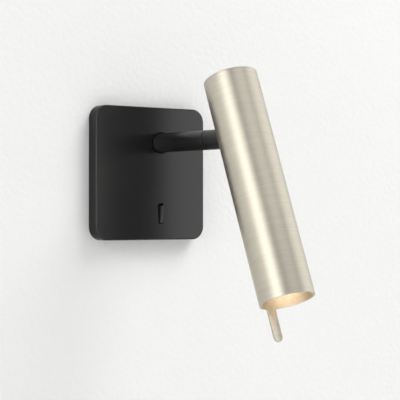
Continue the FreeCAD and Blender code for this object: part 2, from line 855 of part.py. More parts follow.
def make_swivel():
    """Stub that turns in the arm and carries the head on its flat tongue."""
    groove_low = stop_out - d.groove_width / 2
    groove_high = groove_low + d.groove_width
    groove_floor = d.journal_radius - d.groove_depth
    bar = turned("swivel_bar", [
        (ZERO, journal_end),
        (d.journal_radius, journal_end),
        (d.journal_radius, groove_low),
        (groove_floor, groove_low),
        (groove_floor, groove_high),
        (d.journal_radius, groove_high),
        (d.journal_radius, stub_start),
        (d.arm_radius - d.seam_chamfer, stub_start),
        (d.arm_radius, stub_start + d.seam_chamfer),
        (d.arm_radius, d.reach + d.arm_radius),
        (ZERO, d.reach + d.arm_radius),
    ])
    half = d.tongue_width / 2
    wide = d.arm_radius + d.overrun
    round_part = box("stub_round_part", (-wide, -wide, journal_end - d.overrun), (wide, wide, shoulder_out))
    tongue = box("stub_tongue", (-half, -wide, shoulder_out - d.overrun), (half, wide, d.reach))
    tongue_end = cylinder("stub_tongue_end", d.arm_radius, d.tongue_width, (-half, ZERO, d.reach), "+x")
    blank = common("stub_blank", bar, fuse("stub_envelope", round_part, tongue, tongue_end))
    pin_hole = cylinder("stub_pin_hole", d.tilt_pin_radius + d.running_gap, wide * 2,
                        (-wide, ZERO, d.reach), "+x")
    turn_out = d.reach - d.lead_turn_back
    bore_end = turn_out + d.lead_bore
    bore = cylinder("stub_bore", d.lead_bore, bore_end - journal_end + d.overrun,
                    (ZERO, ZERO, journal_end - d.overrun))
    outlet = cylinder("stub_outlet", d.lead_bore, d.arm_radius * 2, (ZERO, ZERO, turn_out), "-x+z")
    stop_hole = cylinder("stub_stop_hole", d.stop_pin_radius, d.journal_radius,
                         (ZERO, d.lead_bore, stop_out), "+y")
    keep("swivel_stub", cut("swivel_stub", blank, pin_hole, bore, outlet, stop_hole), "arm")
    pin_start = d.lead_bore + d.stop_pin_inset
    pin_length = d.journal_radius - d.stop_pin_inset - pin_start
    pin = cylinder("pan_stop_pin", d.stop_pin_radius, pin_length, (ZERO, pin_start, stop_out), "+y")
    keep("pan_stop_pin", group("pan_stop_pin_group", [pin]), "arm")
    washer = turned("pan_washer", [
        (d.journal_radius, stub_start - d.pan_washer_wall),
        (d.arm_radius - d.pan_washer_inset, stub_start - d.pan_washer_wall),
        (d.arm_radius - d.pan_washer_inset, stub_start),
        (d.journal_radius, stub_start),
    ])
    keep("pan_washer", washer, "arm")


def slot_along_z(name, radius, low, high, start, depth):
    """Round-ended cutter that points along y, from one height to another."""
    middle = box(name + "_middle", (-radius, start, low), (radius, start + depth, high))
    ends = [cylinder(name + "_end", radius, depth, (ZERO, start, height), "+y") for height in (low, high)]
    return fuse(name, middle, *ends)


def make_head_tube():
    """Tube with a closed-in slot for the stub and, on the wall side of its rim, the finger lever."""
    tip = -(d.head_bottom + d.lever_length)
    body = turned("head_tube", [
        (head_bore, tip),
        (d.head_radius, tip),
        (d.head_radius, d.head_top),
        (head_bore, d.head_top),
    ])
    round_edges(body, d.head_edge, lambda edge: is_at_height(d.head_top)(edge)
                and abs(edge.Curve.Radius - d.head_radius.value) < 1e-4)
    rim = -d.head_bottom
    half = d.lever_width / 2
    far = d.head_radius + d.overrun
    end = tip + half
    blade = box("lever_blade", (-half, ZERO, end), (half, far, rim + d.overrun))
    blade_end = cylinder("lever_end", half, far, (ZERO, ZERO, end), "+y")
    root = half + d.lever_root
    root_low = rim - d.lever_root
    root_block = box("lever_root_block", (-root, ZERO, root_low), (root, far, rim + d.overrun))
    root_rounds = [cylinder("lever_root_round", d.lever_root, far + d.overrun,
                            (root * side, -d.overrun, root_low), "+y") for side in (-1, 1)]
    lever = fuse("lever", blade, blade_end, cut("lever_root", root_block, *root_rounds))
    below = box("below_rim", (-far, -far, tip - d.overrun), (far, far, rim))
    furthest = d.tilt + d.tilt_more
    slot_radius = d.arm_radius + d.slot_gap
    slot_top = d.head_radius * tangent(furthest) + d.arm_radius / cosine(furthest) + d.slot_gap - slot_radius
    slot = slot_along_z("stub_slot", slot_radius, ZERO, slot_top, slot_radius, far)
    screw_hole = cylinder("tube_screw_hole", d.grub_radius + d.thread_gap, far,
                          (ZERO, ZERO, sink_top - d.tube_screw_drop), "+y")
    trimmed = cut("head_tube_trimmed", body, cut("rim_cutter", below, lever))
    keep("head_tube", cut("head_tube", trimmed, slot, screw_hole), "head")


def make_top_cap():
    """Cap pressed into the tube's upper end."""
    face = d.head_top - d.cap_recess
    under = face - d.cap_wall
    radius = head_bore - d.running_gap
    cap = turned("top_cap", [
        (ZERO, face),
        (radius, face),
        (radius, under - d.cap_skirt),
        (radius - d.cap_skirt_wall, under - d.cap_skirt),
        (radius - d.cap_skirt_wall, under),
        (ZERO, under),
    ])
    keep("top_cap", cap, "head")


def make_tilt_hinge():
    """Yoke, pin, nut and washers that hold the stub's tongue with friction."""
    half_width = d.cheek_width / 2
    base_low = -(d.yoke_drop + d.yoke_wall)
    base = cylinder("yoke_base", d.yoke_radius, d.yoke_wall, (ZERO, ZERO, base_low))
    cheeks = []
    for side in (-1, 1):
        near = cheek_in if side > 0 else -cheek_out
        cheeks.append(box("cheek_plate", (near, -half_width, -d.yoke_drop - d.yoke_wall / 2),
                          (near + d.cheek_wall, half_width, ZERO)))
        cheeks.append(cylinder("cheek_end", half_width, d.cheek_wall, (near, ZERO, ZERO), "+x"))
    pin_hole = cylinder("yoke_pin_hole", d.tilt_pin_radius + d.thread_gap, cheek_out * 2 + d.overrun * 2,
                        (-cheek_out - d.overrun, ZERO, ZERO), "+x")
    holes = [cylinder("yoke_screw_hole", d.yoke_screw_radius + d.thread_gap, d.yoke_wall + d.overrun * 2,
                      (ZERO, d.yoke_screw_offset * side, base_low - d.overrun)) for side in (-1, 1)]
    lead_hole = cylinder("yoke_lead_hole", d.lead_hole, d.yoke_wall + d.overrun * 2,
                         (-d.lead_down_x, -d.lead_down_y, base_low - d.overrun))
    yoke = cut("pivot_yoke", fuse("yoke_blank", base, *cheeks), pin_hole, lead_hole, *holes)
    keep("pivot_yoke", yoke, "head")

    head = (d.yoke_screw_head_radius, d.yoke_screw_head)
    shank = (d.yoke_screw_radius, d.yoke_screw_length)
    key = (d.key_flats, d.yoke_screw_head / 2)
    screws = [screw("yoke_screw", head, shank, key, (ZERO, d.yoke_screw_offset * side, -d.yoke_drop), "-z")
              for side in (-1, 1)]
    keep("yoke_screws", group("yoke_screw_group", screws), "head")

    bore = d.tilt_pin_radius + d.running_gap
    washers = [ring("friction_washer", bore, half_width, d.friction_wall, (start, ZERO, ZERO), "+x")
               for start in (cheek_in - d.friction_wall, -cheek_in)]
    keep("friction_washers", group("friction_washer_group", washers), "head")

    nut_start = cheek_out + d.spring_wall
    pin_length = cheek_out * 2 + d.spring_wall + d.tilt_nut_height + d.tilt_pin_end
    pin = screw("tilt_pin", (d.tilt_pin_head_radius, d.tilt_pin_head), (d.tilt_pin_radius, pin_length),
                (d.tilt_key_flats, d.tilt_key_depth), (-cheek_out, ZERO, ZERO), "+x")
    keep("tilt_pin", group("tilt_pin_group", [pin]), "head")
    spring = ring("tilt_spring_washer", bore, d.spring_radius, d.spring_wall, (cheek_out, ZERO, ZERO), "+x")
    keep("tilt_spring_washer", group("tilt_spring_group", [spring]), "head")
    lock = nut("tilt_nut", d.tilt_nut_flats, bore, d.tilt_nut_height, (nut_start, ZERO, ZERO), "+x")
    keep("tilt_nut", group("tilt_nut_group", [lock]), "head")


def make_heat_sink():
    """Finned aluminium slug under the yoke, with the screw that holds the tube to it."""
    body = turned("heat_sink", [
        (ZERO, sink_bottom),
        (d.sink_radius, sink_bottom),
        (d.sink_radius, sink_top),
        (ZERO, sink_top),
    ])
    gap_high = sink_top - d.fin_first
    sketch = add_sketch(body, "XZ_Plane")
    rectangle(sketch, d.sink_radius - d.fin_depth, gap_high - d.fin_gap, d.sink_radius + d.overrun, gap_high)
    groove = body.newObject("PartDesign::Groove", "fin_groove")
    groove.Profile = sketch
    groove.ReferenceAxis = (sketch, ["V_Axis"])
    groove.Angle = 360
    doc.recompute()
    pattern = body.newObject("PartDesign::LinearPattern", "fin_pattern")
    pattern.Originals = [groove]
    pattern.Direction = (sketch, ["V_Axis"])
    pattern.Reversed = True
    pattern.Occurrences = COUNTS["fins"]
    bind(pattern, "Length", d.fin_pitch * (COUNTS["fins"] - 1))
    body.Tip = pattern
    lead_hole = cylinder("sink_lead_hole", d.lead_hole, d.sink_length + d.overrun * 2,
                         (-d.lead_down_x, -d.lead_down_y, sink_bottom - d.overrun))
    upper = [cylinder("sink_yoke_thread", d.yoke_screw_radius + d.thread_gap, d.yoke_screw_length,
                      (ZERO, d.yoke_screw_offset * side, sink_top + d.overrun), "-z") for side in (-1, 1)]
    lower = [cylinder("sink_board_thread", d.board_screw_radius + d.thread_gap, d.board_screw_length,
                      (d.board_screw_offset * side, ZERO, sink_bottom - d.overrun)) for side in (-1, 1)]
    screw_height = sink_top - d.tube_screw_drop
    side_thread = cylinder("sink_side_thread", d.grub_radius + d.thread_gap, d.tube_screw_length + d.overrun,
                           (ZERO, d.head_radius, screw_height), "-y")
    keep("heat_sink", cut("heat_sink", body, lead_hole, side_thread, *upper, *lower), "head")
    tube_screw = grub("tube_grub_screw", d.grub_radius, d.tube_screw_length, (d.key_flats, d.key_depth),
                      (ZERO, d.head_radius - d.grub_recess, screw_height), "-y")
    keep("tube_grub_screw", group("tube_grub_group", [tube_screw]), "head")


def make_light_source():
    """Thermal pad, board, screws, light package and its phosphor."""
    holes = [cylinder("pad_hole", d.lead_hole, d.pad_wall + d.overrun * 2,
                      (-d.lead_down_x, -d.lead_down_y, board_top - d.overrun))]
    holes += [cylinder("pad_screw_hole", d.board_screw_radius + d.fit_gap, d.pad_wall + d.overrun * 2,
                       (d.board_screw_offset * side, ZERO, board_top - d.overrun)) for side in (-1, 1)]
    pad_disc = cylinder("pad_disc", d.board_radius, d.pad_wall, (ZERO, ZERO, board_top))
    keep("thermal_pad", cut("thermal_pad", pad_disc, *holes), "head")
    holes = [cylinder("board_hole", d.lead_hole, d.board_wall + d.overrun * 2,
                      (-d.lead_down_x, -d.lead_down_y, board_face - d.overrun))]
    holes += [cylinder("board_screw_hole", d.board_screw_radius + d.fit_gap, d.board_wall + d.overrun * 2,
                       (d.board_screw_offset * side, ZERO, board_face - d.overrun)) for side in (-1, 1)]
    board_disc = cylinder("board_disc", d.board_radius, d.board_wall, (ZERO, ZERO, board_face))
    keep("led_board", cut("led_board", board_disc, *holes), "head")
    head = (d.board_screw_head_radius, d.board_screw_head)
    shank = (d.board_screw_radius, d.board_screw_length)
    key = (d.board_screw_radius, d.board_screw_head / 2)
    screws = [screw("led_board_screw", head, shank, key,
                    (d.board_screw_offset * side, ZERO, board_face), "+z") for side in (-1, 1)]
    keep("led_board_screws", group("led_board_screw_group", screws), "head")
    half = d.package_width / 2
    package_face = board_face - d.package_height
    package = box("package_box", (-half, -half, package_face), (half, half, board_face))
    keep("led_package", group("led_package_group", [package]), "head")
    phosphor = cylinder("phosphor_disc", d.phosphor_radius, d.phosphor_height,
                        (ZERO, ZERO, package_face - d.phosphor_height))
    keep("led_phosphor", group("led_phosphor_group", [phosphor]), "head")


def make_lens():
    """Lens, the holder that seats it round the board, and the ring that closes it."""
    back = board_face - d.package_height - d.phosphor_height - d.lens_gap
    well = d.lens_back - d.lens_back_wall
    lens = turned("lens", [
        (ZERO, back - d.lens_well),
        (well - d.lens_well_taper, back - d.lens_well),
        (well, back),
        (d.lens_back, back),
        (d.lens_radius, lens_seat),
        (d.lens_flange, lens_seat),
        (d.lens_flange, lens_front),
        (ZERO, lens_front),
    ])
    keep("lens", lens, "head")
    counterbore = d.lens_flange + d.fit_gap
    holder = turned("lens_holder", [
        (d.holder_bore, sink_bottom),
        (d.holder_radius, sink_bottom),
        (d.holder_radius, holder_end),
        (counterbore, holder_end),
        (counterbore, lens_seat),
        (d.holder_bore, lens_seat),
    ])
    keep("lens_holder", holder, "head")
    outer = head_bore - d.running_gap
    ring_body = turned("lens_ring", [
        (d.ring_bore, lens_front),
        (d.lens_flange, lens_front),
        (d.lens_flange, holder_end),
        (outer, holder_end),
        (outer, holder_end - d.ring_wall),
        (d.ring_bore, holder_end - d.ring_wall),
    ])
    keep("lens_ring", ring_body, "head")


def make_leads():
    """Leads inside the arm, the stub and the head, which stop short of each other at the joints."""
    meeting = journal_end
    arm_points = [
        (ZERO, -d.arm_lead_offset, case_front - d.lead_inside),
        (ZERO, -d.arm_lead_offset, d.arm_lead_entry - d.arm_lead_rise),
        (ZERO, ZERO, d.arm_lead_entry),
        (ZERO, ZERO, meeting - d.lead_break),
    ]
    keep("arm_lead", lead("arm_lead", arm_points, d.lead_radius, d.arm_lead_bend), "arm")
    turn_out = d.reach - d.lead_turn_back
    swivel_points = [
        (ZERO, ZERO, meeting + d.lead_break),
        (ZERO, ZERO, turn_out),
        (-d.lead_side, ZERO, turn_out + d.lead_side),
        (-d.lead_side, ZERO, d.reach - d.lead_break),
    ]
    keep("swivel_lead", lead("swivel_lead", swivel_points, d.lead_radius, d.lead_bend), "arm")
    ahead = (-cosine(d.tilt), -sine(d.tilt))
    head_points = [
        (-d.lead_side, ahead[0] * d.lead_break, ahead[1] * d.lead_break),
        (-d.lead_side, ahead[0] * d.lead_run, ahead[1] * d.lead_run),
        (-d.lead_down_x, -d.lead_down_y, -d.lead_down_z),
        (-d.lead_down_x, -d.lead_down_y, board_face),
    ]
    keep("head_lead", lead("head_lead", head_points, d.lead_radius, d.lead_bend), "head")


def make_switch():
    """Switch body behind the cover, its screws, axle, contact, tags and leads."""
    half, along = d.switch_width / 2, d.switch_height / 2
    block = box("switch_block", (-half, -along, -d.switch_back), (half, along, inner_front))
    flange_low = chassis_back - d.switch_flange_wall
    flange_x, flange_y = d.switch_flange_width / 2, d.switch_flange_height / 2
    flange = box("switch_flange", (-flange_x, -flange_y, flange_low), (flange_x, flange_y, chassis_back))
    well_half = d.window_width / 2 - d.switch_well_gap / 2
    well_along = d.window_height / 2 + d.switch_well_gap
    well_floor = inner_front - d.switch_well_depth
    well = box("switch_well", (-well_half, -well_along, well_floor),
               (well_half, well_along, inner_front + d.overrun))
    axle_hole = cylinder("switch_axle_hole", d.axle_radius, d.switch_width + d.overrun * 2,
                         (-half - d.overrun, ZERO, axle_out), "+x")
    bore = d.switch_screw_radius + d.thread_gap
    depth = d.switch_flange_wall + d.overrun * 2
    holes = [cylinder("switch_screw_hole", bore, depth,
                      (d.switch_screw_offset * side, ZERO, flange_low - d.overrun)) for side in (-1, 1)]
    blank = fuse("switch_blank", block, flange)
    keep("switch_body", cut("switch_body", blank, well, axle_hole, *holes), "switch")
    head = (d.switch_screw_head_radius, d.switch_screw_head)
    shank = (d.switch_screw_radius, d.switch_screw_length)
    key = (d.switch_screw_radius, d.switch_screw_head / 2)
    screws = [screw("switch_screw", head, shank, key, (d.switch_screw_offset * side, ZERO, flange_low), "+z")
              for side in (-1, 1)]
    keep("switch_screws", group("switch_screw_group", screws), "switch")
    axle = cylinder("switch_axle", d.axle_radius, d.switch_width, (-half, ZERO, axle_out), "+x")
    keep("switch_axle", group("switch_axle_group", [axle]), "switch")
    contact_half = d.contact_width / 2
    contact = box("contact_blade", (-contact_half, -d.contact_length / 2, well_floor),
                  (contact_half, d.contact_length / 2, well_floor + d.contact_wall))
    keep("switch_contact", group("switch_contact_group", [contact]), "switch")
    tags = []
    for side in (-1, 1):
        middle = d.tag_side * side
        height = d.tag_offset * side
        low = (middle - d.tag_width / 2, height - d.tag_wall / 2, -d.switch_back - d.tag_length)
        high = (middle + d.tag_width / 2, height + d.tag_wall / 2, -d.switch_back)
        tags.append(box("switch_tag", low, high))
    keep("switch_terminals", group("switch_tag_group", tags), "switch")
    leads = []
    for side in (-1, 1):
        middle = d.tag_side * side
        points = [
            (middle, d.tag_offset * side + d.tag_wall / 2, switch_lead_out),
            (middle, d.switch_lead_entry, switch_lead_out),
            (middle, d.switch_lead_entry, case_front - d.lead_inside),
        ]
        leads.append(lead("switch_lead_%d" % (side > 0), points, d.switch_lead_radius, d.switch_lead_bend))
    keep("switch_leads", group("switch_lead_group", leads), "switch")


def make_rocker():
    """Narrow rocker on its axle, with its upper end standing out."""
    body = new_body("rocker")
    sketch = add_sketch(body, "YZ_Plane")
    half = d.rocker_height / 2
    face = d.axle_depth + d.rocker_proud
    skirt = d.axle_depth - d.rocker_skirt
    polygon(sketch, [
        (-half, skirt),
        (-d.rocker_hub, -d.rocker_hub_back),
        (-d.rocker_nose, -d.rocker_nose_length),
        (d.rocker_nose, -d.rocker_nose_length),
        (d.rocker_hub, -d.rocker_hub_back),
        (half, skirt),
        (half, face),
        (-half, face),
    ])
    circle(sketch, ZERO, ZERO, d.axle_radius + d.running_gap)
    pad(body, sketch, d.window_width - d.rocker_gap * 2, midplane=True)
    round_edges(body, d.rocker_edge, lambda edge: edge.BoundBox.ZMax > face.value - 1e-4)
    keep("rocker", body, "rocker")


def make_driver_mounting():
    """Swaged hexagon spacers on the chassis and the screws that hold the driver to them."""
    spacers = []
    screws = []
    head = (d.driver_screw_head_radius, d.driver_screw_head)
    shank = (d.driver_screw_radius, d.driver_screw_length)
    key = (d.key_flats, d.driver_screw_head / 2)
    for side in (-1, 1):
        bar = prism("driver_spacer_bar", d.spacer_flats, d.spacer_length)
        spigot = cylinder("driver_spacer_spigot", d.spacer_spigot, d.spacer_length + d.chassis_wall)
        thread = cylinder("driver_spacer_thread", d.driver_screw_radius + d.thread_gap,
                          d.spacer_thread_depth + d.overrun, (ZERO, ZERO, -d.overrun))
        spacer = cut("driver_spacer", fuse("driver_spacer_blank", bar, spigot), thread)
        spacers.append(put(spacer, (d.spacer_x * side, d.spacer_y, lid_front)))
        place = (d.spacer_x * side, d.spacer_y, case_front)
        screws.append(screw("driver_mount_screw", head, shank, key, place, "+z"))
    keep("driver_spacers", group("driver_spacer_group", spacers), "wall")
    keep("driver_mount_screws", group("driver_mount_group", screws), "wall")


def make_driver_case():
    """Moulded case with two screw posts, and the lid with two ears that closes it."""
    across, along = d.case_width / 2, d.case_height / 2
    body = new_body("driver_case")
    sketch = add_sketch(body, "XY_Plane", case_back)
    rounded_rectangle(sketch, (ZERO, ZERO), across, along, d.case_corner)
    pad(body, sketch, d.case_depth)
    inside = add_sketch(body, "XY_Plane", case_front)
    half_width, half_height = across - d.case_wall, along - d.case_wall
    rounded_rectangle(inside, (ZERO, ZERO), half_width, half_height, d.case_corner - d.case_wall)
    pocket(body, inside, d.case_depth - d.case_wall)
    posts = add_sketch(body, "XY_Plane", case_back + d.case_wall / 2)
    circle(posts, post_x, post_y, d.post_radius)
    circle(posts, -post_x, -post_y, d.post_radius)
    pad(body, posts, d.case_depth - d.case_wall / 2)
    ledges = add_sketch(body, "XY_Plane", case_back + d.case_wall / 2)
    circle(ledges, post_x, -post_y, d.post_radius)
    circle(ledges, -post_x, post_y, d.post_radius)
    pad(body, ledges, d.case_wall / 2 + d.ledge_height)
    threads = add_sketch(body, "XY_Plane", case_front)
    circle(threads, post_x, post_y, d.lid_screw_radius + d.thread_gap)
    circle(threads, -post_x, -post_y, d.lid_screw_radius + d.thread_gap)
    pocket(body, threads, d.lid_screw_length)
    keep("driver_case", body, "wall")

    lid = new_body("driver_lid")
    outline = add_sketch(lid, "XY_Plane", case_front)
    ear = across + d.ear_width
    ear_low = d.spacer_y - d.ear_height / 2
    ear_high = ear_low + d.ear_height
    polygon(outline, [
        (across, -along),
        (across, ear_low),
        (ear, ear_low),
        (ear, ear_high),
        (across, ear_high),
        (across, along),
        (-across, along),
        (-across, ear_high),
        (-ear, ear_high),
        (-ear, ear_low),
        (-across, ear_low),
        (-across, -along),
    ])
    for side in (-1, 1):
        circle(outline, d.spacer_x * side, d.spacer_y, d.driver_screw_radius + d.fit_gap)
        circle(outline, post_x * side, post_y * side, d.lid_screw_radius + d.fit_gap)
        circle(outline, d.arm_x + d.tag_side * side, switch_lead_y, d.switch_lead_radius + d.fit_gap)
    circle(outline, d.arm_x, lead_hole_y, d.lead_radius + d.fit_gap)
    pad(lid, outline, d.lid_wall)
    keep("driver_lid", lid, "wall")
    head = (d.lid_screw_head_radius, d.lid_screw_head)
    shank = (d.lid_screw_radius, d.lid_screw_length)
    key = (d.key_flats, d.lid_screw_head / 2)
    screws = [screw("driver_lid_screw", head, shank, key, (post_x * side, post_y * side, lid_front), "-z")
              for side in (-1, 1)]
    keep("driver_lid_screws", group("driver_lid_screw_group", screws), "wall")


def make_driver_board():
    """Circuit board in the case with its transformer, capacitors, choke and chips."""
    across = d.case_width / 2 - d.case_wall - d.board_gap
    along = d.case_height / 2 - d.case_wall - d.board_gap
    low = (-across, -along, driver_board_back)
    board = box("driver_board_box", low, (across, along, driver_board_face))
    depth = d.driver_board_wall + d.overrun * 2
    notches = [cylinder("driver_board_notch", d.post_radius + d.board_gap, depth,
                        (post_x * side, post_y * side, low[2] - d.overrun)) for side in (-1, 1)]
    keep("driver_board", cut("driver_board", board, *notches), "wall")

    low = (d.core_x - d.core_width / 2, d.core_y - d.core_depth / 2, driver_board_face)
    high = (low[0] + d.core_width, low[1] + d.core_depth, driver_board_face + d.core_height)
    outer = box("core_outer", low, high)
    window_low = (low[0] + d.core_yoke, low[1] - d.overrun, low[2] + d.core_yoke)
    window_high = (high[0] - d.core_yoke, high[1] + d.overrun, high[2] - d.core_yoke)
    half_leg = d.core_leg / 2
    leg = box("core_leg", (d.core_x - half_leg, low[1], low[2]), (d.core_x + half_leg, high[1], high[2]))
    frame = cut("core_frame", outer, box("core_window", window_low, window_high))
    keep("transformer_core", fuse("transformer_core", frame, leg), "wall")
    gap = d.winding_gap
    wound = box("winding_block", (window_low[0] + gap, d.core_y - d.winding_depth / 2, window_low[2] + gap),
                (window_high[0] - gap, d.core_y + d.winding_depth / 2, window_high[2] - gap))
    leg_hole = box("winding_hole", (d.core_x - half_leg, low[1] - gap, low[2]),
                   (d.core_x + half_leg, high[1] + gap, high[2]))
    keep("transformer_winding", cut("transformer_winding", wound, leg_hole), "wall")

    capacitors = [cylinder("capacitor", d.capacitor_radius, d.capacitor_height,
                           (d.capacitor_x, height, driver_board_face))
                  for height in (d.capacitor_upper_y, d.capacitor_lower_y)]
    keep("bulk_capacitors", group("capacitor_group", capacitors), "wall")
    choke = cylinder("choke_drum", d.choke_radius, d.choke_height, (d.choke_x, d.choke_y, driver_board_face))
    keep("choke", group("choke_group", [choke]), "wall")
    chips = []
    for middle in (d.chip_x, d.chip_x - d.chip_pitch):
        low = (middle - d.chip_width / 2, d.chip_y, driver_board_face)
        high = (low[0] + d.chip_width, d.chip_y + d.chip_length, driver_board_face + d.chip_height)
        chips.append(box("chip", low, high))
    keep("driver_chips", group("chip_group", chips), "wall")


def make_terminals():
    """Three-pole mains block under the case, with two clamp screws to each pole."""
    top = -d.case_height / 2
    front = case_front - d.block_inset
    low = (-d.block_width / 2, top - d.block_height, front - d.block_depth)
    block = box("block_box", low, (d.block_width / 2, top, front))
    bores = []
    screws = []
    clamp_start = top - d.block_height + d.clamp_recess
    for pole in range(COUNTS["poles"]):
        across = d.pole_pitch * (pole - (COUNTS["poles"] - 1) / 2)
        bores.append(cylinder("pole_bore", d.pole_radius, d.block_depth + d.overrun * 2,
                              (across, top - d.pole_drop, low[2] - d.overrun)))
        for side in (-1, 1):
            height = front - d.block_depth / 2 + d.clamp_pitch / 2 * side
            depth = d.block_height - d.pole_drop + d.overrun
            bores.append(cylinder("clamp_bore", d.clamp_radius + d.thread_gap, depth,
                                  (across, low[1] - d.overrun, height), "+y"))
            bar = cylinder("terminal_screw_bar", d.clamp_radius, d.clamp_length)
            slot = box("terminal_screw_slot", (-d.clamp_radius, -d.clamp_slot / 2, -d.overrun),
                       (d.clamp_radius, d.clamp_slot / 2, d.clamp_slot_depth))
            screws.append(put(cut("terminal_screw", bar, slot), (across, clamp_start, height), "+y"))
    keep("terminal_block", cut("terminal_block", block, *bores), "wall")
    keep("terminal_screws", group("terminal_screw_group", screws), "wall")


def make_earth():
    """Earth screw and ring tag behind the chassis, and the lead from the tag to the first pole."""
    tag_back = chassis_back - d.earth_tag_wall
    place = (-d.earth_x, -d.earth_drop, tag_back)
    disc = cylinder("earth_tag_disc", d.earth_tag_radius, d.earth_tag_wall, place)
    barrel_y = -d.earth_drop - d.earth_screw_head_radius - d.fit_gap
    barrel_out = chassis_back - d.earth_barrel_radius
    barrel = cylinder("earth_barrel", d.earth_barrel_radius, d.earth_barrel_length,
                      (-d.earth_x, barrel_y, barrel_out), "-y")
    screw_hole = cylinder("earth_tag_hole", d.earth_screw_radius + d.fit_gap,
                          d.earth_tag_wall + d.overrun * 2, (-d.earth_x, -d.earth_drop, tag_back - d.overrun))
    lead_hole = cylinder("earth_barrel_bore", d.earth_lead_radius, d.earth_barrel_length + d.overrun,
                         (-d.earth_x, barrel_y - d.overrun, barrel_out), "-y")
    keep("earth_tag", cut("earth_tag", fuse("earth_tag_blank", disc, barrel), screw_hole, lead_hole), "wall")
    length = d.chassis_wall + d.earth_tag_wall - d.running_gap
    head = (d.earth_screw_head_radius, d.earth_screw_head)
    key = (d.tilt_key_flats, d.earth_screw_head / 2)
    bolt = screw("earth_screw", head, (d.earth_screw_radius, length), key, place, "+z")
    keep("earth_screw", group("earth_screw_group", [bolt]), "wall")
    pole_y = -d.case_height / 2 - d.pole_drop
    entry = case_front - d.block_inset
    points = [
        (-d.earth_x, barrel_y - d.overrun, barrel_out),
        (-d.earth_x, pole_y, barrel_out),
        (-d.earth_x, pole_y, entry + d.earth_lead_out),
        (-d.pole_pitch, pole_y, entry + d.earth_lead_out),
        (-d.pole_pitch, pole_y, entry - d.earth_lead_out),
    ]
    keep("earth_lead", lead("earth_lead", points, d.earth_lead_radius, d.earth_lead_bend), "wall")


def check_and_write():
    """Stop on any failed object, then write each sub-part to its own file."""
    doc.recompute()
    failed = [thing.Label for thing in doc.Objects if {"Invalid", "Error"} & set(thing.State)]
    for node, thing in pieces.items():
        shape = thing.Shape
        if shape.isNull() or not shape.isValid() or not shape.Solids:
            failed.append(node)
    if failed:
        raise RuntimeError("failed objects: %s" % ", ".join(failed))
    os.makedirs("parts", exist_ok=True)
    for node, thing in pieces.items():
        thing.Shape.exportStep("parts/%s.step" % node)
        print("%-20s %d solids %10.2f mm3" % (node, len(thing.Shape.Solids), thing.Shape.Volume))


make_cover_plate()
make_chassis_plate()
make_wall_bracket()
make_cover_grub_screws()
make_arm()
make_swivel()
make_head_tube()
make_top_cap()
make_tilt_hinge()
make_heat_sink()
make_light_source()
make_lens()
make_leads()
make_switch()
make_rocker()
make_driver_mounting()
make_driver_case()
make_driver_board()
make_terminals()
make_earth()
check_and_write()
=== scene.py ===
"""Dresses the wall spotlight: smooth shells, finishes, the lamp's glow, the room, its light and the camera.

The light's own lengths are in millimetres up to the point where a mesh or a material is made, and Blender
gets metres. The room's lengths are in metres throughout.
"""

import logging
import math
from dataclasses import dataclass, field
from enum import Enum

import bmesh
import bpy
import numpy as np
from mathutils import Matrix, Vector


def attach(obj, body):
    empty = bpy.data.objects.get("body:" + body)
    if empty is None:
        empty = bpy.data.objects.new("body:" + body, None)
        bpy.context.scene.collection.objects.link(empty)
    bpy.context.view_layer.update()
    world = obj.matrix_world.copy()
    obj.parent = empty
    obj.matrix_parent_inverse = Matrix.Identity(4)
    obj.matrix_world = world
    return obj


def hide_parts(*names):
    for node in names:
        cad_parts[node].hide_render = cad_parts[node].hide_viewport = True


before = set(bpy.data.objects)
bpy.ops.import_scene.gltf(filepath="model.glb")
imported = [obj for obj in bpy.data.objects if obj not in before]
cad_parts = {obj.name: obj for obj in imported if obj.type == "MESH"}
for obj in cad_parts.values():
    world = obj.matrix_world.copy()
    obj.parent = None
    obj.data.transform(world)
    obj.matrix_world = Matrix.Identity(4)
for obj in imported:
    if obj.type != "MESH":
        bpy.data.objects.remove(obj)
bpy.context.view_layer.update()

logging.basicConfig(level=logging.INFO, format="%(message)s")
log = logging.getLogger("wall_spotlight")

Point = tuple[float, float, float]
Colour = tuple[float, float, float]
Pair = tuple[np.ndarray, np.ndarray]
Shell = tuple[np.ndarray, np.ndarray]
Bands = tuple[np.ndarray, np.ndarray, np.ndarray, np.ndarray]
Socket = bpy.types.NodeSocket

MM = 0.001
QUARTER_TURN = np.pi / 2
EDGE_SAMPLES = 8

# small lengths in millimetres, and the decimals to which samples and points are told apart
NEAR = 1e-4
HAIR = 1e-6
SAMPLE_DECIMALS = 5
SKIN_DECIMALS = 4

# where the light's main parts are, in millimetres and degrees
ARM_ACROSS = 7.2
ARM_HEIGHT = 18.6
REACH = 87.6
HEAD_TILT = 21.5
ROCKER_DROP = 24.1
GRUB_HOLE = 1.55


class Grain(Enum):
    """How a finish breaks up light on the real surface."""

    COATED = "orange peel of a powder coat"
    BRUSHED = "fine rings round the head's axis"
    PLATED = "cloudy plating"
    TURNED = "fine rings across the arm's axis"
    MOULDED = "fine spark grain"
    SMOOTH = "almost none"


class Reach(Enum):
    """Which surfaces answer a lamp."""

    BOTH = "all surfaces"
    MATT = "only what scatters light"
    GLOSS = "only what mirrors it"


@dataclass(frozen=True)
class Seat:
    """A sub-assembly's own frame: its origin in the room and its turn about the x axis.

    Args:
        origin: where the frame's origin stands, in millimetres.
        turn: degrees about the x axis.
    """

    origin: Point
    turn: float

    def to_room(self, points: np.ndarray) -> np.ndarray:
        """Turn points about x and carry them to the origin.

        Args:
            points: n by 3, in millimetres, in the frame.

        Returns:
            n by 3 points in the room, in metres.
        """
        angle = math.radians(self.turn)
        across, ahead, up = points.T
        turned = np.stack([
            across,
            ahead * math.cos(angle) - up * math.sin(angle),
            ahead * math.sin(angle) + up * math.cos(angle),
        ], axis=1)
        return (turned + np.array(self.origin)) * MM


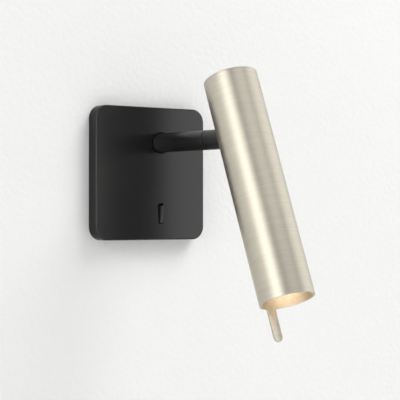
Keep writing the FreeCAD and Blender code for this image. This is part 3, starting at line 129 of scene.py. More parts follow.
WALL = Seat((0.0, 0.0, 0.0), 90.0)
ARM = Seat((ARM_ACROSS, 0.0, ARM_HEIGHT), 90.0)
HEAD = Seat((ARM_ACROSS, -REACH, ARM_HEIGHT), -HEAD_TILT)


@dataclass(frozen=True)
class Hole:
    """A round-cornered hole in a flat sheet, with the margin of the tile that is meshed round it.

    Args:
        u, v: its middle.
        half_u, half_v: half its size both ways.
        corner: radius of its corners.
        margin: width of the tile outside it.
        count_u, count_v: samples over the tile, both ways.
    """

    u: float
    v: float
    half_u: float
    half_v: float
    corner: float
    margin: float
    count_u: int = 13
    count_v: int = 11

    @classmethod
    def circle(cls, u: float, v: float, radius: float, margin: float, **counts: int) -> "Hole":
        """A round hole, whose corners leave no straight side."""
        return cls(u, v, radius, radius, radius, margin, **counts)

    def tile(self) -> tuple[float, float, float, float]:
        """The tile's lowest and highest u, and its lowest and highest v."""
        across, along = self.half_u + self.margin, self.half_v + self.margin
        return self.u - across, self.u + across, self.v - along, self.v + along

    def samples(self) -> Pair:
        """Even samples over the tile, along u and along v."""
        low_u, high_u, low_v, high_v = self.tile()
        return np.linspace(low_u, high_u, self.count_u), np.linspace(low_v, high_v, self.count_v)

    def outline(self, border: np.ndarray) -> np.ndarray:
        """The hole's edge under each point of the tile's border.

        Each point is drawn to the nearest point of the hole's inner rectangle and stops one corner
        radius short of it, so a circle is the case where that rectangle is a point.

        Args:
            border: n by 2 points on the tile's border.

        Returns:
            n by 2 points on the hole's edge.
        """
        middle = np.array([self.u, self.v])
        core = np.array([self.half_u - self.corner, self.half_v - self.corner])
        nearest = np.clip(border, middle - core, middle + core)
        away = border - nearest
        return nearest + away / np.linalg.norm(away, axis=1, keepdims=True) * self.corner


def merged(*parts: np.ndarray) -> np.ndarray:
    """Several lists of samples as one in rising order, without repeats."""
    return np.unique(np.round(np.concatenate(parts), SAMPLE_DECIMALS))


def grid_faces(rows: int, columns: int, wrap: bool = False) -> np.ndarray:
    """Quads of a grid whose points run along the columns first.

    Args:
        rows: number of rows of points.
        columns: number of points in a row.
        wrap: whether the last column joins the first.

    Returns:
        m by 4 point numbers.
    """
    across = np.arange(columns if wrap else columns - 1)
    up = np.arange(rows - 1)[:, None] * columns
    beside = (across + 1) % columns
    corners = (up + across, up + beside, up + columns + beside, up + columns + across)
    return np.stack(np.broadcast_arrays(*corners), -1).reshape(-1, 4)


def tile_border(along_u: np.ndarray, along_v: np.ndarray) -> np.ndarray:
    """The points round a tile, once each, from its lowest corner along u first.

    Args:
        along_u, along_v: the tile's samples both ways.

    Returns:
        n by 2 points.
    """
    count_u, count_v = len(along_u) - 1, len(along_v) - 1
    return np.concatenate([
        np.stack([along_u[:-1], np.full(count_u, along_v[0])], 1),
        np.stack([np.full(count_v, along_u[-1]), along_v[:-1]], 1),
        np.stack([along_u[:0:-1], np.full(count_u, along_v[-1])], 1),
        np.stack([np.full(count_v, along_u[0]), along_v[:0:-1]], 1),
    ])


def pierced(us: np.ndarray, vs: np.ndarray, holes: list[Hole], rings: int = 5, growth: float = 1.4) -> Shell:
    """A flat grid with holes: the cells of each hole's tile give way to rings round the hole.

    A ring's point is the hole's edge point plus a growing part of the way to the tile's border.

    Args:
        us, vs: samples both ways, which hold the borders of all tiles.
        holes: the holes.
        rings: rows of points between a hole and its tile.
        growth: power by which the rings widen outwards.

    Returns:
        n by 2 points and m by 4 faces.
    """
    grid_u, grid_v = np.meshgrid(us, vs)
    points = [np.stack([grid_u.ravel(), grid_v.ravel()], 1)]
    middle_u = (us[1:] + us[:-1])[None, :] / 2
    middle_v = (vs[1:] + vs[:-1])[:, None] / 2
    kept = np.ones((len(vs) - 1, len(us) - 1), bool)
    for hole in holes:
        low_u, high_u, low_v, high_v = hole.tile()
        kept &= ~((middle_u > low_u) & (middle_u < high_u) & (middle_v > low_v) & (middle_v < high_v))
    faces = [grid_faces(len(vs), len(us))[kept.ravel()]]
    total = len(points[0])
    share = (np.linspace(0, 1, rings) ** growth)[:, None, None]
    for hole in holes:
        low_u, high_u, low_v, high_v = hole.tile()
        along_u = us[(us > low_u - NEAR) & (us < high_u + NEAR)]
        along_v = vs[(vs > low_v - NEAR) & (vs < high_v + NEAR)]
        border = tile_border(along_u, along_v)
        edge = hole.outline(border)
        points.append((edge + (border - edge) * share).reshape(-1, 2))
        faces.append(grid_faces(rings, len(border), True) + total)
        total += len(points[-1])
    return np.concatenate(points), np.concatenate(faces)


def closed_shell(outer: np.ndarray, inner: np.ndarray, faces: np.ndarray) -> Shell:
    """Join an outer and an inner skin of the same faces into one closed shell.

    Points of the outer skin that coincide become one, and each edge that then has one face gets a
    quad to the same edge of the inner skin.

    Args:
        outer, inner: n by 3 points each.
        faces: m by 4 faces, the same for both.

    Returns:
        Points and faces of the shell.
    """
    rounded = np.round(outer, SKIN_DECIMALS)
    _, first, place = np.unique(rounded, axis=0, return_index=True, return_inverse=True)
    faces = place.reshape(-1)[faces]
    outer, inner = outer[first], inner[first]
    edges = np.stack([faces, np.roll(faces, -1, axis=1)], -1).reshape(-1, 2)
    edges = edges[edges[:, 0] != edges[:, 1]]
    _, number, uses = np.unique(np.sort(edges, 1), axis=0, return_inverse=True, return_counts=True)
    rim = edges[uses[number.reshape(-1)] == 1]
    count = len(outer)
    walls = np.stack([rim[:, 1], rim[:, 0], rim[:, 0] + count, rim[:, 1] + count], 1)
    return np.concatenate([outer, inner]), np.concatenate([faces, faces[:, ::-1] + count, walls])


@dataclass
class Skins:
    """An outer and an inner skin with the same faces, gathered patch by patch.

    Args:
        outer, inner: the patches' points.
        faces: the patches' faces, by the point numbers of all patches together.
    """

    outer: list[np.ndarray] = field(default_factory=list)
    inner: list[np.ndarray] = field(default_factory=list)
    faces: list[np.ndarray] = field(default_factory=list)

    def add(self, outer: np.ndarray, inner: np.ndarray, faces: np.ndarray) -> None:
        """Add a patch.

        Args:
            outer, inner: n by 3 points each.
            faces: m by 4 faces, by the patch's own point numbers.
        """
        start = sum(len(points) for points in self.outer)
        self.outer.append(outer)
        self.inner.append(inner)
        self.faces.append(faces + start)

    def closed(self) -> Shell:
        """All patches as one closed shell."""
        return closed_shell(*(np.concatenate(each) for each in (self.outer, self.inner, self.faces)))


def carried(places: np.ndarray, normals: np.ndarray, reach: np.ndarray, height: np.ndarray) -> np.ndarray:
    """A profile carried along a flat path: each point is the place plus the normal times the reach.

    Args:
        places, normals: n by 2 each, along the path.
        reach, height: m each, along the profile.

    Returns:
        m times n by 3 points, the path's points first.
    """
    spots = places[None] + normals[None] * reach[:, None, None]
    lifted = np.broadcast_to(height[:, None, None], (*spots.shape[:2], 1))
    return np.concatenate([spots, lifted], 2).reshape(-1, 3)


def lathe(profile: list[tuple[float, float]], around: int) -> Shell:
    """A profile of radius and height turned about the z axis.

    Args:
        profile: radius and height pairs.
        around: points round the axis.

    Returns:
        Points and faces.
    """
    radius, height = np.array(profile, float).T
    angle = np.linspace(0, 2 * np.pi, around, endpoint=False)
    points = np.stack([
        radius[:, None] * np.cos(angle),
        radius[:, None] * np.sin(angle),
        np.broadcast_to(height[:, None], (len(height), around)),
    ], -1).reshape(-1, 3)
    return points, grid_faces(len(profile), around, True)


def joined(*shells: Shell) -> Shell:
    """Several shells as one list of points and one of faces.

    Args:
        shells: the shells.

    Returns:
        Points and faces.
    """
    starts = np.cumsum([0] + [len(points) for points, _ in shells[:-1]])
    points = np.concatenate([points for points, _ in shells])
    return points, np.concatenate([faces + start for (_, faces), start in zip(shells, starts)])


@dataclass(frozen=True)
class MeshFinish:
    """How a new mesh is cleaned, shaded and edged.

    Args:
        merge: points nearer than this become one, in metres.
        sliver: edges shorter than this vanish, in metres.
        sharp: an edge that turns more than this many degrees is shaded sharp.
        bevelled: an edge that turns more than this many degrees gets the bevel.
        segments: faces across a bevel.
    """

    merge: float = 2e-6
    sliver: float = 1e-7
    sharp: float = 32.0
    bevelled: float = 38.0
    segments: int = 2

    def clean(self, mesh: bpy.types.Mesh) -> int:
        """Merge a mesh's doubles, turn its faces outwards and shade it.

        Args:
            mesh: the mesh.

        Returns:
            The number of its open edges.
        """
        work = bmesh.new()
        work.from_mesh(mesh)
        bmesh.ops.remove_doubles(work, verts=work.verts[:], dist=self.merge)
        bmesh.ops.dissolve_degenerate(work, edges=work.edges[:], dist=self.sliver)
        bmesh.ops.recalc_face_normals(work, faces=work.faces[:])
        open_edges = sum(1 for each in work.edges if not each.is_manifold)
        work.to_mesh(mesh)
        work.free()
        mesh.shade_smooth()
        mesh.set_sharp_from_angle(angle=math.radians(self.sharp))
        return open_edges

    def bevel(self, piece: bpy.types.Object, width: float) -> None:
        """Bevel a piece's sharp edges.

        Args:
            piece: the piece.
            width: the bevel's width in millimetres.
        """
        bevel = piece.modifiers.new("edge", "BEVEL")
        bevel.width = width * MM
        bevel.segments = self.segments
        bevel.limit_method = "ANGLE"
        bevel.angle_limit = math.radians(self.bevelled)
        bevel.harden_normals = True


MESH_FINISH = MeshFinish()


def make_piece(name: str, shell: Shell, seat: Seat, body: str, edge: float = 0.0) -> bpy.types.Object:
    """Put a shell into a smooth-shaded object at the origin that rides on a body.

    Args:
        name: the piece's name.
        shell: points in millimetres in the seat's frame, and faces.
        seat: the frame that the points are in.
        body: the moving body it rides on.
        edge: width of the bevel on its sharp edges, in millimetres, or none.

    Returns:
        The new object.
    """
    points, faces = shell
    mesh = bpy.data.meshes.new(name)
    mesh.from_pydata(seat.to_room(points).tolist(), [], faces.tolist())
    open_edges = MESH_FINISH.clean(mesh)
    piece = bpy.data.objects.new(name, mesh)
    bpy.context.scene.collection.objects.link(piece)
    if edge:
        MESH_FINISH.bevel(piece, edge)
    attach(piece, body)
    log.info("%s: %d points, %d open edges", name, len(mesh.vertices), open_edges)
    return piece


class Shader:
    """A material's node tree and short calls to fill it."""

    def __init__(self, name: str) -> None:
        """Start an empty material with its output node.

        Args:
            name: the material's name.
        """
        self.material = bpy.data.materials.new(name)
        self.material.use_nodes = True
        self.tree = self.material.node_tree
        self.tree.nodes.clear()
        self.output = self.tree.nodes.new("ShaderNodeOutputMaterial")

    def node(self, kind: str, inputs: dict | None = None, **settings: object) -> bpy.types.Node:
        """Add a node, with its settings, and with values or links on its inputs.

        Args:
            kind: the node's type, without its ShaderNode prefix.
            inputs: input names or numbers, each with a value or with an output socket.
            settings: properties of the node.

        Returns:
            The node.
        """
        made = self.tree.nodes.new("ShaderNode" + kind)
        for key, value in settings.items():
            setattr(made, key, value)
        for key, value in (inputs or {}).items():
            if isinstance(value, Socket):
                self.tree.links.new(value, made.inputs[key])
            else:
                made.inputs[key].default_value = value
        return made

    def place(self, seat: Seat, stretch: Point) -> Socket:
        """Object coordinates in a seat's frame, divided by a stretch.

        Args:
            seat: the frame.
            stretch: the length that counts as one, each way, in millimetres.

        Returns:
            The place, as a vector.
        """
        source = self.node("TexCoord").outputs["Object"]
        mapping = self.node("Mapping", {
            "Vector": source,
            "Location": tuple(value * MM for value in seat.origin),
            "Rotation": (math.radians(seat.turn), 0.0, 0.0),
            "Scale": tuple(value * MM for value in stretch),
        }, vector_type="TEXTURE")
        return mapping.outputs["Vector"]

    def noise(self, vector: Socket, detail: float, rough: float = 0.5) -> Socket:
        """Noise from 0 to 1 over a vector: detail is how many finer layers it has, rough their strength."""
        made = self.node("TexNoise", {"Vector": vector, "Scale": 1.0, "Detail": detail, "Roughness": rough})
        return made.outputs["Fac"]

    def span(self, value: Socket, low: float, high: float, start: float = 0.0, end: float = 1.0) -> Socket:
        """Carry a value's range over to another one.

        Args:
            value: the value.
            low, high: what it becomes at the range's start and end, and beyond them.
            start, end: the range.

        Returns:
            The new value.
        """
        made = self.node("MapRange", {
            "Value": value, "From Min": start, "From Max": end, "To Min": low, "To Max": high,
        })
        return made.outputs["Result"]

    def combined(self, operation: str, first: Socket, second: Socket | float) -> Socket:
        """Two values made one by an operation of the Math node."""
        return self.node("Math", {0: first, 1: second}, operation=operation).outputs[0]

    def tint(self, share: Socket, first: Colour, second: Colour) -> Socket:
        """A colour between two others.

        Args:
            share: how much of the second it has.
            first, second: the two linear colours.

        Returns:
            The colour.
        """
        made = self.node("Mix", {"Factor": share}, data_type="RGBA")
        colours = [socket for socket in made.inputs if socket.type == "RGBA"]
        colours[0].default_value = (*first, 1.0)
        colours[1].default_value = (*second, 1.0)
        return next(socket for socket in made.outputs if socket.type == "RGBA")

    def bump(self, height: Socket, depth: float) -> Socket:
        """The normal of a relief whose height goes from 0 to 1, with its depth in millimetres."""
        made = self.node("Bump", {"Height": height, "Distance": depth * MM, "Strength": 1.0})
        return made.outputs["Normal"]

    def finish(self, inputs: dict) -> bpy.types.Material:
        """Close the material with a principled shader.

        Args:
            inputs: the shader's inputs, as for a node.

        Returns:
            The material.
        """
        surface = self.node("BsdfPrincipled", inputs)
        self.tree.links.new(surface.outputs["BSDF"], self.output.inputs["Surface"])
        return self.material


RINGED = (Grain.BRUSHED, Grain.TURNED)
RING_LENGTH = 14.0
RING_CLOUD = (24.0, 24.0, 1.1)
PLAIN_CLOUD = (9.0, 9.0, 9.0)
# most of the sum of two noises lies in this range
MIXED_RANGE = (0.75, 1.25)
ROUGH_SHARES = {Grain.BRUSHED: 0.07, Grain.COATED: 0.015, Grain.PLATED: 0.20}
OTHER_ROUGH_SHARE = 0.10


@dataclass(frozen=True)
class Finish:
    """A surface's colour, gloss and grain.

    Args:
        name: the finish in plain words.
        colour: its linear colour.
        rough: its roughness.
        metal: 1 for bare metal, otherwise 0.
        grain: the kind of its fine relief.
        size: how wide a grain is, in millimetres.
        depth: how deep a grain is, in millimetres.
        cloud: share by which its colour wanders over about a centimetre.
        specular: level of the reflection of a dielectric.
        coat: weight of a clear coat.
        seat: the frame that its rings follow.
    """

    name: str
    colour: Colour
    rough: float
    metal: float = 0.0
    grain: Grain = Grain.MOULDED
    size: float = 0.25
    depth: float = 0.008
    cloud: float = 0.08
    specular: float = 0.5
    coat: float = 0.0
    seat: Seat = WALL

    def stretch(self) -> Point:
        """How far a grain reaches each way, in millimetres: a ring's reaches far across its axis."""
        across = RING_LENGTH if self.grain in RINGED else self.size
        return across, across, self.size

    def material(self) -> bpy.types.Material:
        """Build the node material: fine grain and wide clouds steer colour and roughness together.

        Returns:
            The material.
        """
        shader = Shader(self.name)
        fine = shader.noise(shader.place(self.seat, self.stretch()), detail=3.0)
        cloud_size = RING_CLOUD if self.grain in RINGED else PLAIN_CLOUD
        wide = shader.noise(shader.place(self.seat, cloud_size), detail=4.0, rough=0.55)
        mixed = shader.combined("ADD", fine, wide)
        light = tuple(min(1.0, value * (1 + self.cloud)) for value in self.colour)
        dark = tuple(value * (1 - self.cloud) for value in self.colour)
        share = ROUGH_SHARES.get(self.grain, OTHER_ROUGH_SHARE)
        return shader.finish({
            "Base Color": shader.tint(shader.span(mixed, 0.0, 1.0, *MIXED_RANGE), dark, light),
            "Metallic": self.metal,
            "Roughness": shader.span(mixed, self.rough * (1 - share), self.rough * (1 + share), *MIXED_RANGE),
            "Specular IOR Level": self.specular,
            "Coat Weight": self.coat,
            "Normal": shader.bump(fine, self.depth),
        })


BLACK_COAT = Finish("black_powder_coat", (0.006, 0.006, 0.006), rough=0.12, grain=Grain.COATED, size=0.35,
                    depth=0.0007, cloud=0.04, specular=0.17)
ARM_COAT = Finish("black_arm_coat", (0.010, 0.010, 0.010), rough=0.30, grain=Grain.COATED, size=0.35,
                  depth=0.0012, cloud=0.04, specular=0.62)
NICKEL = Finish("brushed_nickel", (0.76, 0.71, 0.60), rough=0.40, metal=1.0, grain=Grain.BRUSHED, size=0.22,
                depth=0.0008, cloud=0.06, seat=HEAD)
ZINC = Finish("zinc_plated_steel", (0.56, 0.57, 0.58), rough=0.34, metal=1.0, grain=Grain.PLATED, size=1.4,
              depth=0.004, cloud=0.10)
SPRING_STEEL = Finish("black_oxide_steel", (0.10, 0.10, 0.105), rough=0.42, metal=1.0, grain=Grain.PLATED,
                      size=0.5, depth=0.004, cloud=0.12)
ALUMINIUM = Finish("turned_aluminium", (0.72, 0.72, 0.73), rough=0.36, metal=1.0, grain=Grain.TURNED,
                   size=0.22, depth=0.006, cloud=0.06, seat=HEAD)
BRASS = Finish("plain_brass", (0.70, 0.50, 0.22), rough=0.32, metal=1.0, grain=Grain.PLATED, size=0.8,
               depth=0.004, cloud=0.10)
COPPER = Finish("enamelled_copper", (0.62, 0.26, 0.12), rough=0.30, metal=1.0, grain=Grain.PLATED, size=0.3,
                depth=0.02, cloud=0.10, coat=0.5)
BLACK_MOULD = Finish("black_moulding", (0.022, 0.022, 0.023), rough=0.52, size=0.3, depth=0.010)
ROCKER_BLACK = Finish("rocker_moulding", (0.006, 0.006, 0.006), rough=0.12, grain=Grain.SMOOTH, size=0.3,
                      depth=0.0006, specular=0.17)
WHITE_MOULD = Finish("white_moulding", (0.76, 0.75, 0.71), rough=0.50, size=0.35, depth=0.010, cloud=0.03)
ACETAL = Finish("turned_acetal", (0.72, 0.69, 0.60), rough=0.45, grain=Grain.TURNED, size=0.25, depth=0.006,
                seat=ARM)
NYLON = Finish("black_nylon", (0.012, 0.012, 0.012), rough=0.55, size=0.2, depth=0.006)
SOLDER_MASK = Finish("green_solder_mask", (0.02, 0.13, 0.045), rough=0.30, grain=Grain.SMOOTH, size=0.6,
                     depth=0.02)
WHITE_MASK = Finish("white_solder_mask", (0.80, 0.80, 0.77), rough=0.35, grain=Grain.SMOOTH, size=0.5,
                    depth=0.004)
CERAMIC = Finish("ceramic", (0.78, 0.76, 0.70), rough=0.6, size=0.15, depth=0.004, cloud=0.03)
SILICONE = Finish("thermal_silicone", (0.33, 0.37, 0.44), rough=0.7, size=0.4, depth=0.012)
FERRITE = Finish("ferrite", (0.045, 0.045, 0.047), rough=0.55, size=0.25, depth=0.012)
SLEEVE = Finish("capacitor_sleeve", (0.012, 0.02, 0.05), rough=0.25, grain=Grain.SMOOTH, size=1.5, depth=0.01)
CHIP = Finish("chip_moulding", (0.018, 0.018, 0.018), rough=0.6, size=0.12, depth=0.006)
WHITE_LEAD = Finish("white_silicone_sleeve", (0.74, 0.73, 0.68), rough=0.55, size=0.3, depth=0.010,
                    cloud=0.03)
BROWN_LEAD = Finish("brown_insulation", (0.10, 0.035, 0.015), rough=0.45, size=0.3, depth=0.006)

DRESS = {
    # the chassis plate wears the cover's black coat: a dark finish of its own that also paints the gap round
    # the arm's root as shade (painted shade)
    BLACK_COAT: ("chassis_plate",),
    ARM_COAT: ("swivel_stub",),
    NICKEL: ("top_cap",),
    ZINC: ("chassis_nuts", "wall_bracket", "arm_washer", "switch_screws", "switch_axle",
           "driver_mount_screws", "driver_lid_screws", "terminal_screws", "earth_tag", "pan_stop_pin",
           "yoke_screws", "tilt_pin", "tilt_nut", "led_board_screws"),
    SPRING_STEEL: ("cover_grub_screws", "pan_stop_screw", "tilt_spring_washer", "tube_grub_screw"),
    ALUMINIUM: ("pivot_yoke", "heat_sink"),
    BRASS: ("arm_nut", "switch_contact", "switch_terminals", "driver_spacers", "earth_screw"),
    COPPER: ("transformer_winding",),
    BLACK_MOULD: ("switch_body", "lens_holder", "lens_ring"),
    ROCKER_BLACK: ("rocker",),
    WHITE_MOULD: ("driver_case", "driver_lid", "terminal_block"),
    ACETAL: ("pan_bush",),
    NYLON: ("pan_washer", "friction_washers"),
    SOLDER_MASK: ("driver_board",),
    WHITE_MASK: ("led_board",),
    CERAMIC: ("led_package",),
    SILICONE: ("thermal_pad",),
    FERRITE: ("transformer_core", "choke"),
    SLEEVE: ("bulk_capacitors",),
    CHIP: ("driver_chips",),
    WHITE_LEAD: ("arm_lead", "swivel_lead", "head_lead"),
    BROWN_LEAD: ("switch_leads",),
}


@dataclass
class CoverPlate:
    """The square cover: a front and a rim of one thickness, two openings, two screw holes and four studs.

    Args:
        half: half its width.
        depth: its depth from the wall.
        wall: its thickness.
        corner: radius of its corners.
        edge: radius of the front's edge.
        stud_offset, stud_radius, stud_end: the studs' place, radius and lowest height.
        arm_hole, window, screw_hole: the openings for arm, rocker and grub screw.
        screw_margin: height of the plain rim above the screw hole's tile.
        bevel: width of the bevel on its sharp edges.
        front_count, corner_count, stud_count: samples across the front, and round a corner and a stud.
    """

    half: float = 40.0
    depth: float = 7.8
    wall: float = 1.5
    corner: float = 8.0
    edge: float = 0.8
    stud_offset: float = 30.3
    stud_radius: float = 1.45
    stud_end: float = 1.8
    arm_hole: Hole = Hole.circle(ARM_ACROSS, ARM_HEIGHT, radius=6.6, margin=2.4, count_u=25, count_v=25)
    window: Hole = Hole(ARM_ACROSS, -ROCKER_DROP, half_u=1.8, half_v=6.1, corner=0.5, margin=1.3, count_v=29)
    screw_hole: Hole = Hole.circle(u=0.0, v=3.2, radius=GRUB_HOLE, margin=1.0)
    screw_margin: float = 0.2
    bevel: float = 0.14
    front_count: int = 25
    corner_count: int = 15
    stud_count: int = 24

    @property
    def core(self) -> float:
        """Half the width between the rounded corners."""
        return self.half - self.corner

    @property
    def inner_front(self) -> float:
        """Height of the front's inner face."""
        return self.depth - self.wall

    def path(self, us: np.ndarray, vs: np.ndarray) -> Pair:
        """The path that the rim's profile follows, clockwise from the upper left.

        It is the square of half size minus corner radius. A side's normal is constant, and at a
        corner the point stays while the normal turns through a quarter circle.

        Args:
            us, vs: samples along the upper and lower sides, and along the right and left ones.

        Returns:
            n by 2 places and n by 2 outward normals.
        """
        turn = np.linspace(QUARTER_TURN, 0, self.corner_count)[1:-1]
        bend = np.stack([np.cos(turn), np.sin(turn)], 1)
        places, normals = [], []
        for quarter, along in enumerate((us, -vs[::-1], -us[::-1], vs)):
            side = np.stack([along, np.full(len(along), self.core)], 1)
            straight = np.broadcast_to([0.0, 1.0], side.shape)
            spot = np.full((len(bend), 2), self.core)
            angle = -QUARTER_TURN * quarter
            spin = np.array([[math.cos(angle), math.sin(angle)], [-math.sin(angle), math.cos(angle)]])
            places += [side @ spin, spot @ spin]
            normals += [straight @ spin, bend @ spin]
        return np.concatenate(places), np.concatenate(normals)

    def profiles(self, side_top: float) -> tuple[Pair, Pair]:
        """The rim's profile, from the flat front over the rounded edge down to a height on the side.

        A reach counts outwards from the path. Outside, the edge is a quarter circle: its reach grows
        by the edge's radius times the angle's sine, and its height falls from the front's by the
        radius times one minus the cosine. Inside, the corner is square, with as many points.

        Args:
            side_top: the height at which the profile ends.

        Returns:
            Reach and height outside, then reach and height inside.
        """
        inside = self.corner - self.wall
        bend = self.corner - self.edge
        flat_shares = np.array([0.0, 0.5, 0.97])
        turn = np.linspace(0, QUARTER_TURN, EDGE_SAMPLES)
        bend_height = self.depth - self.edge + self.edge * np.cos(turn)
        reach = np.concatenate([flat_shares * bend, bend + self.edge * np.sin(turn), [self.corner]])
        height = np.concatenate([np.full(len(flat_shares), self.depth), bend_height, [side_top]])
        inner_reach = np.concatenate([flat_shares * inside, np.full(len(turn) + 1, inside)])
        inner_side = np.linspace(self.inner_front, side_top, len(turn) + 1)[1:]
        inner_height = np.concatenate([np.full(len(flat_shares) + 1, self.inner_front), inner_side])
        return (reach, height), (inner_reach, inner_height)

    def stud(self, across: float, along: float) -> Shell:
        """One welded stud, from the front's inner face down to its end.

        Args:
            across, along: its place.

        Returns:
            Points and faces.
        """
        profile = [(0.0, self.inner_front), (self.stud_radius, self.inner_front),
                   (self.stud_radius, self.stud_end), (0.0, self.stud_end)]
        points, faces = lathe(profile, self.stud_count)
        return points + np.array([across, along, 0.0]), faces

    def shell(self) -> Shell:
        """The closed shell of the cover with its studs.

        The patches are the pierced front, the rounded rim, the plain parts of the side walls, and the
        upper and lower side walls, which have a screw hole each.

        Returns:
            Points and faces.
        """
        arm_u, arm_v = self.arm_hole.samples()
        window_u, window_v = self.window.samples()
        screw_u, screw_v = self.screw_hole.samples()
        even = np.linspace(-self.core, self.core, self.front_count)
        us = merged(even, arm_u, window_u, screw_u)
        vs = merged(even, arm_v, window_v)
        side_top = screw_v[-1] + self.screw_margin
        rim_v = merged(np.array([0.0]), screw_v, np.array([side_top]))
        skins = Skins()
        flat, faces = pierced(us, vs, [self.arm_hole, self.window])
        level = np.ones((len(flat), 1))
        outer, inner = (np.hstack([flat, level * height]) for height in (self.depth, self.inner_front))
        skins.add(outer, inner, faces)
        places, normals = self.path(us, vs)
        outer, inner = (carried(places, normals, *profile) for profile in self.profiles(side_top))
        skins.add(outer, inner, grid_faces(len(outer) // len(places), len(places), True))
        outer, inner = (carried(places, normals, np.full(len(rim_v), reach), rim_v)
                        for reach in (self.corner, self.corner - self.wall))
        cells = grid_faces(len(rim_v), len(places), True)
        upright = np.isclose(np.abs(normals[:, 1]), 1.0)
        replaced = upright[cells[:, :2] % len(places)].all(axis=1)
        skins.add(outer, inner, cells[~replaced])
        wall, faces = pierced(us, rim_v, [self.screw_hole])
        for side in (1.0, -1.0):
            outer, inner = (np.stack([wall[:, 0], np.full(len(wall), side * out), wall[:, 1]], 1)
                            for out in (self.half, self.half - self.wall))
            skins.add(outer, inner, faces if side < 0 else faces[:, ::-1])
        offsets = (-self.stud_offset, self.stud_offset)
        studs = [self.stud(across, along) for across in offsets for along in offsets]
        return joined(skins.closed(), *studs)

    def build(self, coat: bpy.types.Material) -> bpy.types.Object:
        """Make the piece and let it stand for its solid.

        Args:
            coat: its material.

        Returns:
            The piece.
        """
        piece = make_piece("cover_shell", self.shell(), WALL, "root", self.bevel)
        piece.data.materials.append(coat)
        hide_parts("cover_plate")
        return piece


@dataclass
class TubeSheet:
    """A sheet that wraps into a tube: a front strip that keeps its x, and a back strip that shares the rest.

    Args:
        half: half width of the front strip.
        side: 1 if the front strip faces +y, -1 if it faces -y.
        around: points round the back strip.
        parts: the bands so far: strip flag, place across, height and faces.
    """

    half: float
    side: float
    around: int
    parts: list[Bands] = field(default_factory=list)

    def add_front(self, across: np.ndarray, height: np.ndarray, faces: np.ndarray) -> None:
        """Add points of the front strip, by x and height, with their faces."""
        self.parts.append((np.ones(len(across), bool), across, height, faces))

    def add_band(self, across: np.ndarray, low: np.ndarray, high: np.ndarray, rows: int) -> None:
        """Add a band of the front strip: each column runs evenly from its low to its high end.

        Args:
            across: the columns' x.
            low, high: the columns' ends.
            rows: points in a column.
        """
        share = np.linspace(0, 1, rows)[:, None]
        height = low + (high - low) * share
        self.add_front(np.tile(across, rows), height.ravel(), grid_faces(rows, len(across)))

    def add_back(self, heights: np.ndarray) -> None:
        """Add a band of the back strip.

        Args:
            heights: its rows.
        """
        share = np.tile(np.linspace(0, 1, self.around), len(heights))
        height = np.repeat(heights, self.around)
        self.parts.append((np.zeros(len(share), bool), share, height, grid_faces(len(heights), self.around)))

    def gathered(self) -> Bands:
        """All bands as one.

        Returns:
            Strip flag, place across and height of each point, and the faces.
        """
        starts = np.cumsum([0] + [len(part[0]) for part in self.parts[:-1]])
        strip, across, height = (np.concatenate([part[number] for part in self.parts]) for number in range(3))
        faces = np.concatenate([part[3] + start for part, start in zip(self.parts, starts)])
        return strip, across, height, faces

    def skin(self, strip: np.ndarray, across: np.ndarray, radius: np.ndarray,
             height: np.ndarray) -> np.ndarray:
        """Wrap the sheet at a radius.

        On the front strip the angle is the arc sine of x over the radius. On the back strip it runs
        evenly from the strip's edge round to its other edge.

        Args:
            strip: whether a point is on the front strip.
            across: its x there, or its share of the way round the back.
            radius, height: its radius and height.

        Returns:
            n by 3 points.
        """
        edge = np.arcsin(self.half / radius)
        front = np.arcsin(np.clip(np.where(strip, across, 0.0) / radius, -1, 1))
        back = edge + across * (2 * np.pi - 2 * edge)
        angle = np.where(strip, front, back)
        return np.stack([radius * np.sin(angle), self.side * radius * np.cos(angle), height], 1)


